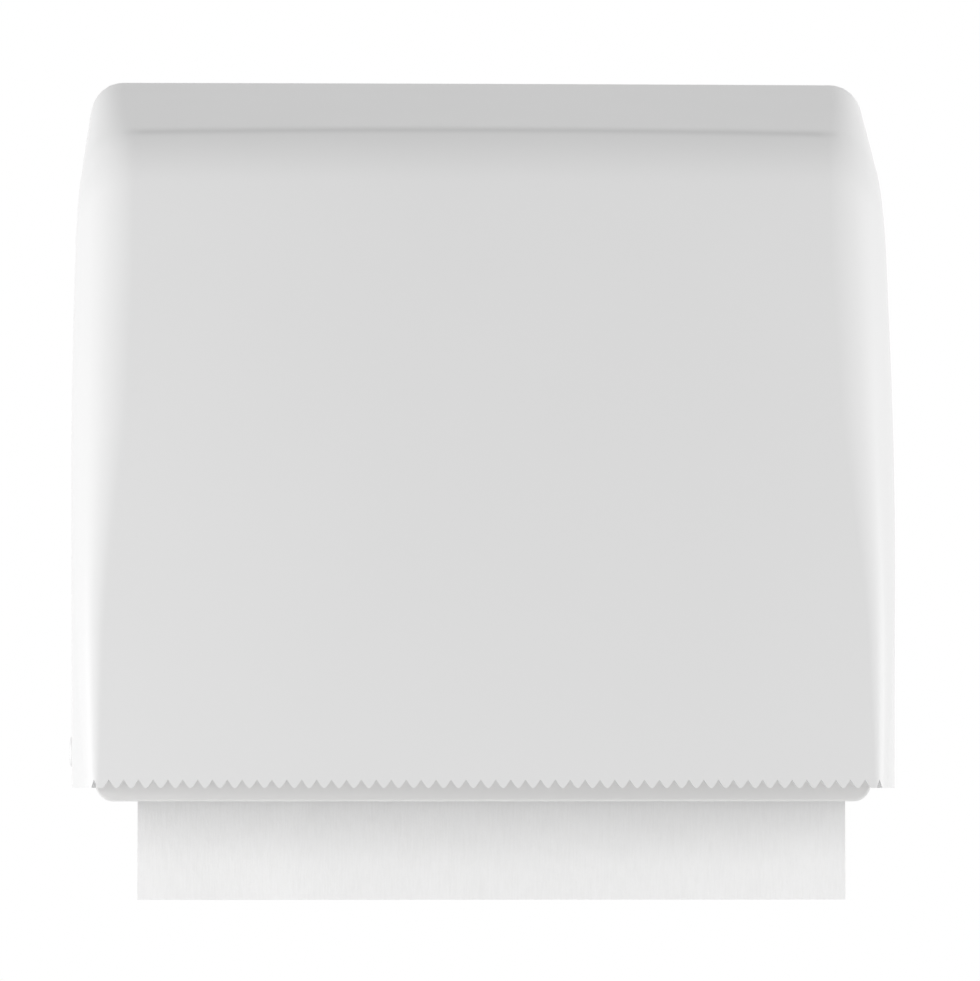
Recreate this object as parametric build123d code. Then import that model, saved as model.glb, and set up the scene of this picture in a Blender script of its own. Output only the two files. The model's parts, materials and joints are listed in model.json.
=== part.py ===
from build123d import *
from math import acos, atan2, ceil, cos, degrees, hypot, pi, radians, sin, tan
import os

# Lever paper towel dispenser, in millimetres. X runs to the right of a person facing it, Y runs
# into the wall and Z up. While it is built, the cover's lower edge is at Z = 0 and the wall at
# Y = 0. save() then puts the origin at the middle of the wall screws.

# Cover -------------------------------------------------------------------------------------------
cover_half_width = 147.0
cover_depth = 200.0          # wall to the middle of the lower front edge
cover_height = 268.3         # lower edge to the top edge at the wall
cover_wall = 2.5
wall_gap = 3.0               # between the cover's back edge and the wall
shoulder_reach = 104.0       # wall to the shoulder line where the top meets the front
shoulder_drop = 33.7         # top edge down to that shoulder line
front_bow = 10.0             # how far the front swells forward in the middle
side_to_front_corner = 14.0  # cover's side to its front corner
side_reach = 95.0            # the sides stand straight out from the wall this far
side_curve = 324.0           # radius of the arc on which they then draw in
corner_low = 12.0            # depth of the rounded front corner at the lower edge
corner_high = 34.0           # and at the shoulder line
corner_run_in = 2.0
corner_overrun = 4.0
corner_angle = 20.0          # degrees between corner and front where they meet
corner_pull_side = 0.62      # how far the corner's curve holds to the side, as a share
corner_pull_front = 0.55     # and to the front
form_overrun = 20.0          # how far the cutting forms run past the cover
tooth_width_share = 0.92     # of the pitch
shoulder_radius = 25.0
top_corner_radius = 11.0
side_trim = 0.05             # flat that the rounded top's form leaves on the sides
tooth_pitch = 5.0
tooth_height = 2.7
notch_count = 54

# Cover hinge -------------------------------------------------------------------------------------
cover_pivot_y = -87.0
cover_pivot_z = 13.0
cover_pin_radius = 3.0
cover_cap_radius = 5.65
cover_cap_height = 1.6
cover_boss_radius = 7.0
cover_boss_gap = 3.3         # frame to boss, where the lever arm swings through

# Wall plate --------------------------------------------------------------------------------------
side_to_plate = 5.0          # cover's side to the plate's edge
plate_thickness = 3.0
plate_bottom = 3.0
top_to_plate = 8.3           # cover's top edge to the plate's
plate_corner_radius = 10.0
rib_height = 4.0
rib_width = 2.0
rib_inset = 12.0             # sides of the plate to the ends of its ribs
rib_places_z = (11.0, 90.0, 190.0)
rib_places_x = (-60.0, 60.0)
screw_spacing_x = 190.0
screw_spacing_z = 160.0
screw_slot_radius = 2.6
screw_slot_length = 12.0
mount_height = 135.0         # middle of the screw slots above the cover's lower edge

# Side frames and tray ----------------------------------------------------------------------------
side_to_frame = 13.0         # cover's side to the frame's inner face
frame_thickness = 3.0
frame_front = 124.0          # wall to the frame's front edge
frame_top = 97.0
frame_foot = 3.0             # lower edge of frames and tray
lever_cutout_height = 26.0   # the frames stay above this ahead of the tray, for the push bar
tray_thickness = 2.5
tray_lip_height = 17.0
tray_lip_gap = 3.25          # tray lip to the web
tray_rib_places = (-90.0, -30.0, 30.0, 90.0)
frame_slant = 5.0            # step of the frame's sloping front corners

# Paper -------------------------------------------------------------------------------------------
side_to_towel = 20.0         # cover's side to the towel, on either hand
web_shift = 3.7              # the paper runs right of the middle, as the gears sit on the left
web_y = -92.0
web_thickness = 0.5
web_clearance = 0.3
web_bottom = -40.0
roll_radius = 56.0
roll_y = -66.0
roll_z = 140.0
core_outer_radius = 21.0
core_wall = 2.0

# Rollers -----------------------------------------------------------------------------------------
nip_z = 38.0
grip_radius = 15.0
drum_radius = 12.0
grip_count = 5
grip_length = 34.0
drive_shaft_radius = 4.0
press_radius = 8.0
press_tube_radius = 6.5
press_tyre_count = 3
press_tyre_length = 40.0
sleeve_margin = 4.0          # towel's edge to the first sleeve
press_shaft_radius = 2.5
block_half_depth = 5.0
block_half_height = 6.0
block_fit = 0.1
block_flange = 2.0
block_flange_thickness = 0.7
press_spring_length = 8.0
press_spring_radius = 1.3

# Lever and gears ---------------------------------------------------------------------------------
gear_module = 1.0
pinion_teeth = 18
sector_teeth = 80            # if the sector went all the way round
gear_backlash = 0.16
gear_width = 4.0
sector_rim = 5.0
spoke_half_width = 4.0
pivot_direction = 77.0       # degrees, from the drive shaft up to the lever shaft
lever_stroke = 19.0          # degrees
lever_shaft_radius = 4.0
bar_y = -130.0               # front of the push bar
bar_thickness = 2.5
side_to_bar = 11.0           # cover's side to the push bar
bar_bottom = -4.7
bar_top = 18.0
bar_shoulder = 4.0           # above this the bar is as wide as the arms
bar_corner_radius = 5.0
bar_bead = 1.5
arm_gap = 0.4
arm_thickness = 2.5
arm_width_top = 16.0
arm_width_foot = 9.0
stop_radius = 3.0
stop_length = 3.0
stop_distance = 30.0         # lever shaft to stop, along the arm
stop_clearance = 0.3
circlip_thickness = 0.8
circlip_radius = 5.5

# Bushes, clutches and springs --------------------------------------------------------------------
bush_wall = 2.0
bush_flange = 1.6
bush_flange_thickness = 1.0
running_fit = 0.05
side_play = 0.3
clutch_wall = 1.5
spring_post_distance = 22.0
spring_post_radius = 1.5
lever_spring_wire = 1.4
lever_spring_length = 4.0

# Roll arms ---------------------------------------------------------------------------------------
arm_to_roll = 0.6
roll_arm_thickness = 2.6
roll_arm_half_height = 9.0
roll_arm_pivot_y = -12.0
roll_arm_eye_radius = 4.0
roll_arm_pin_radius = 2.0
roll_arm_ear = 5.0
hub_length = 6.0
hub_draft = 12.0             # degrees
hub_clearance = 0.1
hub_wall = 3.0
leaf_thickness = 0.6
leaf_length = 27.0
leaf_height = 9.0

# Latch -------------------------------------------------------------------------------------------
latch_width = 24.0
latch_thickness = 0.8
top_to_latch = 19.3          # cover's top edge to the tongue
latch_reach = 24.0
latch_hook_height = 6.5
latch_shelf_thickness = 2.5
latch_shelf_depth = 12.0
keeper_thickness = 2.0
keeper_clearance = 0.5
key_notch_width = 16.0
rivet_radius = 1.6
rivet_head_radius = 3.0
rivet_head_height = 1.0

# Frame screws ------------------------------------------------------------------------------------
screw_head_radius = 3.2
screw_head_height = 1.8
flange_depth = 9.0           # tabs of the wall plate that the frames are screwed to
flange_thickness = 2.5
flange_half_height = 7.0
flange_heights = (20.0, 84.0)

# Worked out --------------------------------------------------------------------------------------
shoulder_height = cover_height - shoulder_drop
plate_top = cover_height - top_to_plate
latch_z = cover_height - top_to_latch
front_half_width = cover_half_width - side_to_front_corner
plate_half_width = cover_half_width - side_to_plate
frame_inner = cover_half_width - side_to_frame
bar_half_width = cover_half_width - side_to_bar
web_width = 2 * (cover_half_width - side_to_towel)
lean_run = cover_depth - shoulder_reach
lean = lean_run / shoulder_height
top_slope = shoulder_drop / shoulder_reach
frame_outer = frame_inner + frame_thickness
web_left = web_shift - web_width / 2
web_right = web_shift + web_width / 2
web_half = web_thickness / 2 + web_clearance
drive_y = web_y - web_half - grip_radius
press_y = web_y + web_half + press_radius
pinion_pitch_radius = gear_module * pinion_teeth / 2
sector_pitch_radius = gear_module * sector_teeth / 2
centre_distance = pinion_pitch_radius + sector_pitch_radius
lever_y = drive_y + centre_distance * cos(radians(pivot_direction))
lever_z = nip_z + centre_distance * sin(radians(pivot_direction))
mesh_direction = pivot_direction - 180      # from the lever shaft to the drive shaft
arm_inner = frame_outer + arm_gap
arm_outer = arm_inner + arm_thickness
gear_outer = -(frame_inner - bush_flange_thickness - side_play)
gear_inner = gear_outer + gear_width
core_inner_radius = core_outer_radius - core_wall
tray_lip_back = web_y + web_thickness / 2 + tray_lip_gap

os.makedirs("parts", exist_ok=True)


def save(name, *solids):
    """Write one named piece, moved so that the wall screws' middle is the origin."""
    shape = solids[0] if len(solids) == 1 else Compound(children=list(solids))
    export_step(Pos(0, 0, -mount_height) * shape, f"parts/{name}.step")


def block(x0, x1, y0, y1, z0, z1):
    """A box between two corners."""
    middle = ((x0 + x1) / 2, (y0 + y1) / 2, (z0 + z1) / 2)
    return Pos(*middle) * Box(abs(x1 - x0), abs(y1 - y0), abs(z1 - z0))


def side_plane(x, y=0.0, z=0.0):
    """A drawing plane across X, with Y to its right and Z up."""
    return Plane(origin=(x, y, z), x_dir=(0, 1, 0), z_dir=(1, 0, 0))


def along_x(outline, x0, x1, y=0.0, z=0.0):
    """A drawing in Y and Z, carried from x0 to x1."""
    return extrude(side_plane(min(x0, x1), y, z) * outline, abs(x1 - x0), dir=(1, 0, 0))


def rod(radius, x0, x1, y, z):
    """A round bar along X."""
    return along_x(Circle(radius), x0, x1, y, z)


def tube(outer, inner, x0, x1, y, z):
    """A round tube along X."""
    return rod(outer, x0, x1, y, z) - rod(inner, x0, x1, y, z)


def side_plate(points, x0, x1):
    """A flat plate across X, from an outline of (y, z) points."""
    return along_x(Polygon(*points, align=None), x0, x1)


def mirrored(shape):
    """The same piece on the other side."""
    return mirror(shape, about=Plane.YZ)


def polar(radius, angle, y=0.0, z=0.0):
    """The (y, z) point at an angle from +Y, turning towards +Z."""
    return y + radius * cos(radians(angle)), z + radius * sin(radians(angle))


# Cover -------------------------------------------------------------------------------------------
def cover_profile(x, inset, bottom, back):
    """The cover cut lengthways at x: sloping top, rounded shoulder and leaning front."""
    bow = front_bow * (x / front_half_width) ** 2
    slope = shoulder_drop / (shoulder_reach - bow)
    shoulder = (-(shoulder_reach - bow), shoulder_height)
    outline = Polygon(
        (back, bottom), (back, cover_height + back * slope), shoulder,
        (-(cover_depth - bow) + lean * bottom, bottom), align=None)
    corner = outline.vertices().sort_by_distance((*shoulder, 0))[0]
    rounded = fillet(corner, shoulder_radius).face()
    return side_plane(x) * (offset(rounded, -inset, kind=Kind.INTERSECTION) if inset else rounded)


def cover_section(z, inset):
    """The cover's sides seen from above at height z.

    The sides run straight out from the wall, draw in on a large arc and turn towards the front on
    a corner that grows with height. The front itself comes from cover_profile().
    """
    half = cover_half_width - inset
    side_front = front_bow - cover_depth + lean * z
    corner_size = corner_low + (corner_high - corner_low) * z / shoulder_height
    corner_y = side_front + corner_size
    straight_y = -min(side_reach, -corner_y - corner_run_in)
    drawn_in = (straight_y - corner_y) ** 2 / (2 * side_curve)
    turn = 2 * atan2(drawn_in, straight_y - corner_y)
    side_end = Vector(half - drawn_in, corner_y)
    front_end = Vector(front_half_width - corner_low * 2 / 3 - inset, side_front - corner_overrun)
    down, across = side_end.Y - front_end.Y, side_end.X - front_end.X
    arrival = Vector(cos(radians(corner_angle)), sin(radians(corner_angle)))
    corner = Bezier(side_end, side_end + Vector(-sin(turn), -cos(turn)) * corner_pull_side * down,
                    front_end + arrival * corner_pull_front * across, front_end)
    back_y = cover_half_width / 2
    right = [
        Line((half, back_y), (half, straight_y)),
        TangentArc((half, straight_y), side_end, tangent=(0, -1)),
        corner,
        Polyline(front_end, (0.9 * front_end.X, front_end.Y - 3 * front_bow),
                 (0, front_end.Y - 3 * front_bow)),
    ]
    left = [mirror(piece, about=Plane.YZ) for piece in reversed(right)]
    outline = Curve() + right + left + [Line((-half, back_y), (half, back_y))]
    return Pos(0, 0, z) * make_face(outline)


def cover_form(inset, bottom, back):
    """The cover's solid form, drawn in by the wall thickness for its hollow."""
    long_form = loft([cover_profile(x, inset, bottom - inset, back + inset)
                      for x in (-cover_half_width - form_overrun, 0,
                                cover_half_width + form_overrun)])
    levels = [-form_overrun, cover_height / 4, cover_height / 2, cover_height * 3 / 4,
              cover_height + form_overrun]
    cross_form = loft([cover_section(z, inset) for z in levels])
    below = 5 * form_overrun
    face = Plane.XZ * Pos(0, (cover_height - below) / 2 - inset) * RectangleRounded(
        2 * (cover_half_width - side_trim - inset), cover_height + below,
        top_corner_radius - inset)
    slope = Vector(0, -1, -top_slope)
    start = -cover_wall * 2
    ends = Solid.extrude(face.face().moved(Location(slope * start)), slope * 2 * cover_depth)
    return (cross_form & ends) & long_form


def front_cover():
    """The hinged shell, with its tearing teeth, hinge bosses and latch keeper."""
    shell = cover_form(0, 0, -wall_gap) - cover_form(cover_wall, -cover_wall, cover_wall)
    boss_start = frame_outer + cover_boss_gap
    boss = rod(cover_boss_radius, boss_start, cover_half_width - cover_wall / 2,
               cover_pivot_y, cover_pivot_z)
    bore = rod(cover_pin_radius + running_fit, -cover_depth, cover_depth,
               cover_pivot_y, cover_pivot_z)
    keeper_y = -(latch_reach - latch_thickness - keeper_clearance)
    keeper_ceiling = cover_height + keeper_y * top_slope - cover_wall / 2
    keeper = block(-latch_width / 2, latch_width / 2, keeper_y, keeper_y + keeper_thickness,
                   latch_z + latch_thickness + keeper_clearance, keeper_ceiling)
    shell = (shell + boss + mirrored(boss) + keeper) - bore
    tooth_half = tooth_width_share * tooth_pitch / 2
    overrun = tooth_height / 5
    notches = [
        Pos((index - (notch_count - 1) / 2) * tooth_pitch, 0)
        * Polygon((-tooth_half, -overrun), (tooth_half, -overrun), (0, tooth_height), align=None)
        for index in range(notch_count)
    ]
    teeth_depth = front_bow + corner_low
    comb = extrude(Plane.XZ.offset(cover_depth - teeth_depth) * Sketch(children=notches),
                   teeth_depth + 1)
    return shell - comb


def cover_pivots():
    """Headed pins that carry the cover on the side frames."""
    pin = rod(cover_pin_radius, frame_inner, cover_half_width + side_play,
              cover_pivot_y, cover_pivot_z)
    cap = rod(cover_cap_radius, cover_half_width + side_play,
              cover_half_width + side_play + cover_cap_height, cover_pivot_y, cover_pivot_z)
    rim = cap.edges().group_by(Axis.X)[-1]
    headed = pin + chamfer(rim, cover_cap_height * 0.6)
    return headed, mirrored(headed)


# Housing -----------------------------------------------------------------------------------------
def roll_arm_x(side):
    """The inner face of a roll arm; side is 1 on the right and -1 on the left."""
    return web_shift + side * (web_width / 2 + arm_to_roll)


def roll_arm_pin_x(side):
    """The arm's pin, set so that its eye stays clear of the roll."""
    return roll_arm_x(side) + side * roll_arm_eye_radius


def wall_plate():
    """The moulded back with its ribs, screw slots, frame tabs, arm ears and latch shelf."""
    height = plate_top - plate_bottom
    outline = RectangleRounded(2 * plate_half_width, height, plate_corner_radius)
    face = Plane.XZ * Pos(0, plate_bottom + height / 2) * outline
    plate = extrude(face, plate_thickness)
    front = -plate_thickness
    rib_front = front - rib_height
    for z in rib_places_z:
        plate += block(-plate_half_width + rib_inset, plate_half_width - rib_inset,
                       rib_front, front, z, z + rib_width)
    for x in rib_places_x:
        plate += block(x - rib_width / 2, x + rib_width / 2, rib_front, front,
                       rib_places_z[0], rib_places_z[-1])
    for x in (-screw_spacing_x / 2, screw_spacing_x / 2):
        for z in (-screw_spacing_z / 2, screw_spacing_z / 2):
            slot = SlotOverall(screw_slot_length, 2 * screw_slot_radius)
            plate -= extrude(Plane.XZ.offset(-1) * Pos(x, mount_height + z) * slot,
                             plate_thickness + rib_height + 2)
    for z in flange_heights:
        tab = block(frame_inner - flange_thickness, frame_inner, front - flange_depth, front,
                    z - flange_half_height, z + flange_half_height)
        plate += tab + mirrored(tab)
    for side in (-1, 1):
        middle = roll_arm_pin_x(side)
        for z in (roll_z - roll_arm_half_height - roll_arm_ear - side_play,
                  roll_z + roll_arm_half_height + side_play):
            ear = block(middle - roll_arm_eye_radius, middle + roll_arm_eye_radius,
                        roll_arm_pivot_y, front, z, z + roll_arm_ear)
            ear += Pos(middle, roll_arm_pivot_y, z + roll_arm_ear / 2) * Cylinder(
                roll_arm_eye_radius, roll_arm_ear)
            plate += ear
        plate -= Pos(middle, roll_arm_pivot_y, roll_z) * Cylinder(
            roll_arm_pin_radius, 2 * (roll_arm_half_height + side_play + roll_arm_ear))
    shelf_top = latch_z
    plate += block(-latch_width / 2 - rib_width, latch_width / 2 + rib_width,
                   front - latch_shelf_depth, front, shelf_top - latch_shelf_thickness, shelf_top)
    plate -= block(-key_notch_width / 2, key_notch_width / 2, front - 1, 1,
                   latch_z + latch_thickness, plate_top + 1)
    for x in (-latch_width / 4, latch_width / 4):
        plate -= Pos(x, front - latch_shelf_depth / 2, shelf_top) * Cylinder(
            rivet_radius, 4 * latch_shelf_thickness)
    return plate


def screw_places():
    """Where the frame screws go through frame and tab: (y, z)."""
    return [(-plate_thickness - flange_depth / 2, z) for z in flange_heights]


def bush_outer(shaft_radius):
    return shaft_radius + running_fit + bush_wall


def side_frame():
    """The right-hand frame plate, with its bearing holes and the pressure roller's slot."""
    slant = frame_slant
    outline = [
        (-plate_thickness, frame_foot), (-plate_thickness, frame_top),
        (-(frame_front - 4 * slant), frame_top), (-(frame_front - slant / 2), frame_top - slant),
        (-frame_front, frame_top / 2 + slant), (-(frame_front - slant), lever_cutout_height),
        (tray_lip_back - tray_thickness, lever_cutout_height),
        (tray_lip_back - tray_thickness, frame_foot),
    ]
    frame = side_plate(outline, frame_inner, frame_outer)
    reach = (frame_inner - 1, frame_outer + 1)
    frame -= rod(bush_outer(drive_shaft_radius), *reach, drive_y, nip_z)
    frame -= rod(bush_outer(lever_shaft_radius), *reach, lever_y, lever_z)
    frame -= rod(cover_pin_radius, *reach, cover_pivot_y, cover_pivot_z)
    slot_back = press_y + block_half_depth + press_spring_length
    slot_half = block_half_height + block_fit
    frame -= block(*reach, press_y - block_half_depth - block_fit, slot_back,
                   nip_z - slot_half, nip_z + slot_half)
    for y, z in screw_places():
        frame -= rod(rivet_radius, *reach, y, z)
    return frame


def frame_screws():
    """Pan-head screws that hold the side frames to the wall plate's tabs."""
    screws = []
    for y, z in screw_places():
        screw = rod(screw_head_radius, frame_outer, frame_outer + screw_head_height, y, z)
        screw += rod(rivet_radius, frame_inner, frame_outer, y, z)
        screws += [screw, mirrored(screw)]
    return screws


def bottom_tray():
    """The floor of the housing, with the lip that guides the towel out."""
    front = tray_lip_back
    floor = block(-frame_inner, frame_inner, front, -plate_thickness,
                  frame_foot, frame_foot + tray_thickness)
    lip = block(-frame_inner, frame_inner, front - tray_thickness, front,
                frame_foot, frame_foot + tray_lip_height)
    tray = floor + lip
    for x in tray_rib_places:
        tray += side_plate(
            [(front, frame_foot + tray_thickness), (front, frame_foot + tray_lip_height * 0.8),
             (front + tray_lip_height, frame_foot + tray_thickness)],
            x - rib_width / 2, x + rib_width / 2)
    return tray


def flanged_bush(shaft_radius, y, z):
    outer = bush_outer(shaft_radius)
    bush = rod(outer, frame_inner, frame_outer, y, z)
    bush += rod(outer + bush_flange, frame_inner - bush_flange_thickness, frame_inner, y, z)
    return bush - rod(shaft_radius + running_fit, frame_inner - 2, frame_outer + 1, y, z)


# Paper -------------------------------------------------------------------------------------------
def web_path():
    """The towel's middle line: off the front of the roll, round the drive roller, and down."""
    roll = roll_radius + web_half
    drive = grip_radius + web_half
    across, up = roll_y - drive_y, roll_z - nip_z
    span = hypot(across, up)
    bearing = degrees(atan2(up, across))
    wrap = bearing - degrees(acos((roll + drive) / span))
    leave_roll = polar(roll, wrap + 180, roll_y, roll_z)
    meet_drive = polar(drive, wrap, drive_y, nip_z)
    mid_wrap = polar(drive, wrap / 2, drive_y, nip_z)
    leave_drive = polar(drive, 0, drive_y, nip_z)
    return [
        Line((0, *leave_roll), (0, *meet_drive)),
        ThreePointArc((0, *meet_drive), (0, *mid_wrap), (0, *leave_drive)),
        Line((0, *leave_drive), (0, leave_drive[0], web_bottom)),
    ]


def paper_web():
    """The towel between the roll and its torn edge."""
    path = Wire(web_path())
    start = Plane(origin=path @ 0, x_dir=(1, 0, 0), z_dir=path % 0)
    strip = sweep(start * Rectangle(web_width, web_thickness), path=path)
    return Pos(web_shift, 0, 0) * strip


# Drive -------------------------------------------------------------------------------------------
def gear_outline(teeth, first, last, inner_radius, phase):
    """Involute teeth from number first to last, closed along an inner arc.

    Each flank unwinds from the base circle: a point at radius r stands invol(acos(base / r))
    further round than the flank's foot. Tooth 0 points at the angle phase.
    """
    pressure = radians(20)
    pitch = gear_module * teeth / 2
    base = pitch * cos(pressure)
    tip = pitch + gear_module
    root = pitch - 1.25 * gear_module

    def involute(radius):
        angle = acos(min(1, base / radius))
        return tan(angle) - angle

    half_tooth = (pi * gear_module - gear_backlash) / (4 * pitch) + involute(pitch)
    steps = 5
    start = max(base, root)
    radii = [start + (tip - start) * step / steps for step in range(steps + 1)]
    points = []
    for tooth in range(first, last + 1):
        middle = radians(phase) + 2 * pi * tooth / teeth
        rising = [(radius, middle - half_tooth + involute(radius)) for radius in radii]
        falling = [(radius, 2 * middle - angle) for radius, angle in reversed(rising)]
        flank = [(root, rising[0][1]), *rising, *falling, (root, falling[-1][1])]
        points += [(r * cos(a), r * sin(a)) for r, a in dict.fromkeys(flank)]
    if last - first + 1 < teeth:
        pitch_angle = 2 * pi / teeth
        high = radians(phase) + pitch_angle * (last + 0.5)
        low = radians(phase) + pitch_angle * (first - 0.5)
        turns = 12
        for turn in range(turns + 1):
            angle = high + (low - high) * turn / turns
            points.append((inner_radius * cos(angle), inner_radius * sin(angle)))
    return Polygon(*points, align=None)


def drive_pinion():
    """The small gear; its tooth gap faces the sector."""
    phase = pivot_direction + 180 / pinion_teeth
    gear = gear_outline(pinion_teeth, 0, pinion_teeth - 1, 0, phase)
    solid = along_x(gear, gear_outer, gear_inner, drive_y, nip_z)
    return solid - rod(drive_shaft_radius + clutch_wall + running_fit, gear_outer - 1,
                       gear_inner + 1, drive_y, nip_z)


def lever_sector():
    """The geared sector on the lever shaft, with its hub and two spokes."""
    tooth_angle = 360 / sector_teeth
    ahead = ceil(lever_stroke / tooth_angle) + 2
    behind = 2
    rim_radius = sector_pitch_radius - sector_rim
    rim = gear_outline(sector_teeth, -ahead, behind, rim_radius, mesh_direction)
    sector = along_x(rim, gear_outer, gear_inner, lever_y, lever_z)
    for tooth in (-ahead, behind):
        angle = mesh_direction + tooth * tooth_angle
        foot = polar(rim_radius + 1, angle)
        side = polar(spoke_half_width, angle + 90)
        spoke = Polygon(side, (foot[0] + side[0] / 2, foot[1] + side[1] / 2),
                        (foot[0] - side[0] / 2, foot[1] - side[1] / 2), (-side[0], -side[1]),
                        align=None)
        sector += along_x(spoke, gear_outer, gear_inner, lever_y, lever_z)
    sector += rod(2 * lever_shaft_radius, gear_outer, gear_inner, lever_y, lever_z)
    return sector - rod(lever_shaft_radius, gear_outer - 1, gear_inner + 1, lever_y, lever_z)


def spread(count, length, low, high):
    """Start points of equal lengths, spaced evenly from end to end."""
    step = (high - low - length) / (count - 1)
    return [low + index * step for index in range(count)]


def sleeves(count, length, outer, inner, y):
    """Rubber rings along a roller, within the towel's width."""
    return [
        tube(outer, inner, x, x + length, y, nip_z)
        for x in spread(count, length, web_left + sleeve_margin, web_right - sleeve_margin)
    ]


# Lever -------------------------------------------------------------------------------------------
def arm_axis():
    """Unit (y, z) direction from the lever shaft down to the push bar."""
    foot_y = bar_y + arm_width_foot / 2
    run, drop = foot_y - lever_y, bar_shoulder - lever_z
    length = hypot(run, drop)
    return run / length, drop / length


def push_lever():
    """The wide push bar and its two arms, moulded as one."""
    bar = block(-bar_half_width, bar_half_width, bar_y, bar_y + bar_thickness,
                bar_bottom, bar_top)
    low_corners = bar.edges().filter_by(Axis.Y).group_by(Axis.Z)[0]
    bar = fillet(low_corners, bar_corner_radius)
    bead = block(-bar_half_width + bar_corner_radius, bar_half_width - bar_corner_radius,
                 bar_y - bar_bead, bar_y, bar_bottom, bar_bottom + bar_bead)
    bar += bead
    bar += block(-arm_outer, arm_outer, bar_y, bar_y + bar_thickness, bar_shoulder, bar_top)
    along = arm_axis()
    across = (-along[1], along[0])
    half = arm_width_top / 2
    outline = [
        (bar_y, bar_shoulder), (bar_y + arm_width_foot, bar_shoulder),
        (bar_y + arm_width_foot, bar_top),
        (lever_y + half * across[0], lever_z + half * across[1]),
        (lever_y - half * across[0], lever_z - half * across[1]), (bar_y, bar_top),
    ]
    arm = side_plate(outline, arm_inner, arm_outer)
    arm += rod(half, arm_inner, arm_outer, lever_y, lever_z)
    arm -= rod(lever_shaft_radius, arm_inner - 1, arm_outer + 1, lever_y, lever_z)
    return bar + arm + mirrored(arm)


def lever_stops():
    """Rubber buffers on the frames that the arms' front edges rest against."""
    along = arm_axis()
    start = (lever_y + along[1] * arm_width_top / 2, lever_z - along[0] * arm_width_top / 2)
    run, drop = bar_y - start[0], bar_top - start[1]
    length = hypot(run, drop)
    run, drop = run / length, drop / length
    off = stop_radius + stop_clearance
    y = start[0] + stop_distance * run + off * drop
    z = start[1] + stop_distance * drop - off * run
    stop = rod(stop_radius, frame_outer, frame_outer + stop_length, y, z)
    return stop, mirrored(stop)


def spring_post_place():
    return lever_y - spring_post_distance, lever_z


def lever_spring():
    """The return spring round the lever shaft: its coil as a sleeve, and its fixed leg."""
    inner = lever_shaft_radius + side_play
    start = gear_inner + side_play
    coil = tube(inner + lever_spring_wire, inner, start, start + lever_spring_length,
                lever_y, lever_z)
    post_y, post_z = spring_post_place()
    leg_z = post_z + spring_post_radius
    leg = block(start + lever_spring_length / 2 - lever_spring_wire / 2,
                start + lever_spring_length / 2 + lever_spring_wire / 2,
                post_y - spring_post_radius, lever_y - inner,
                leg_z, leg_z + lever_spring_wire)
    return coil + leg


def circlips():
    """Retaining rings on the lever shaft's ends."""
    ring = tube(circlip_radius, lever_shaft_radius, arm_outer, arm_outer + circlip_thickness,
                lever_y, lever_z)
    return ring, mirrored(ring)


# Pressure roller ---------------------------------------------------------------------------------
def pressure_blocks():
    """Sliding bearing blocks in the frames' slots, held by a flange on the inside."""
    bearing = block(frame_inner, frame_outer, press_y - block_half_depth,
                    press_y + block_half_depth, nip_z - block_half_height,
                    nip_z + block_half_height)
    bearing += block(frame_inner - side_play - block_flange_thickness, frame_inner - side_play,
                     press_y - block_half_depth - block_flange,
                     press_y + block_half_depth + block_flange,
                     nip_z - block_half_height - block_flange,
                     nip_z + block_half_height + block_flange)
    bearing += block(frame_inner - side_play, frame_inner, press_y - block_half_depth,
                     press_y + block_half_depth, nip_z - block_half_height,
                     nip_z + block_half_height)
    bearing -= rod(press_shaft_radius, frame_inner - 2, frame_outer + 1, press_y, nip_z)
    return bearing, mirrored(bearing)


def pressure_springs():
    """Small compression springs behind the blocks."""
    middle = (frame_inner + frame_outer) / 2
    start = press_y + block_half_depth
    spring = extrude(
        Plane(origin=(middle, start, nip_z), x_dir=(1, 0, 0), z_dir=(0, 1, 0))
        * Circle(press_spring_radius), press_spring_length)
    return spring, mirrored(spring)


# Roll arms ---------------------------------------------------------------------------------------
def roll_arm(side):
    """A flat arm from its vertical pin at the wall plate to the roll's middle."""
    inner = roll_arm_x(side)
    outer = inner + side * roll_arm_thickness
    low, high = roll_z - roll_arm_half_height, roll_z + roll_arm_half_height
    arm = block(inner, outer, roll_y, roll_arm_pivot_y, low, high)
    arm += rod(roll_arm_half_height, inner, outer, roll_y, roll_z)
    eye_place = Pos(roll_arm_pin_x(side), roll_arm_pivot_y, roll_z)
    arm += eye_place * Cylinder(roll_arm_eye_radius, 2 * roll_arm_half_height)
    return arm - eye_place * Cylinder(roll_arm_pin_radius + running_fit,
                                      4 * roll_arm_half_height)


def roll_hub(side):
    """The cone that holds the core's end, on the inner face of its arm."""
    start = roll_arm_x(side)
    face = web_shift + side * web_width / 2
    base = core_inner_radius - hub_clearance
    tip = base - hub_length * tan(radians(hub_draft))
    profile = Polygon(
        (0, 0), (base, 0), (base, arm_to_roll), (tip, arm_to_roll + hub_length),
        (0, arm_to_roll + hub_length), align=None)
    plane = Plane(origin=(start, roll_y, roll_z), x_dir=(0, 1, 0), z_dir=(0, 0, side))
    cone = revolve(plane * profile, Axis((start, roll_y, roll_z), (1, 0, 0)))
    hollow = rod(tip - hub_wall, face - side * hub_length * 2, start - side * 2, roll_y, roll_z)
    return cone - hollow


def arm_pins():
    pins = []
    for side in (-1, 1):
        length = 2 * (roll_arm_half_height + side_play + roll_arm_ear)
        pins.append(Pos(roll_arm_pin_x(side), roll_arm_pivot_y, roll_z)
                    * Cylinder(roll_arm_pin_radius, length))
    return pins


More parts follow.
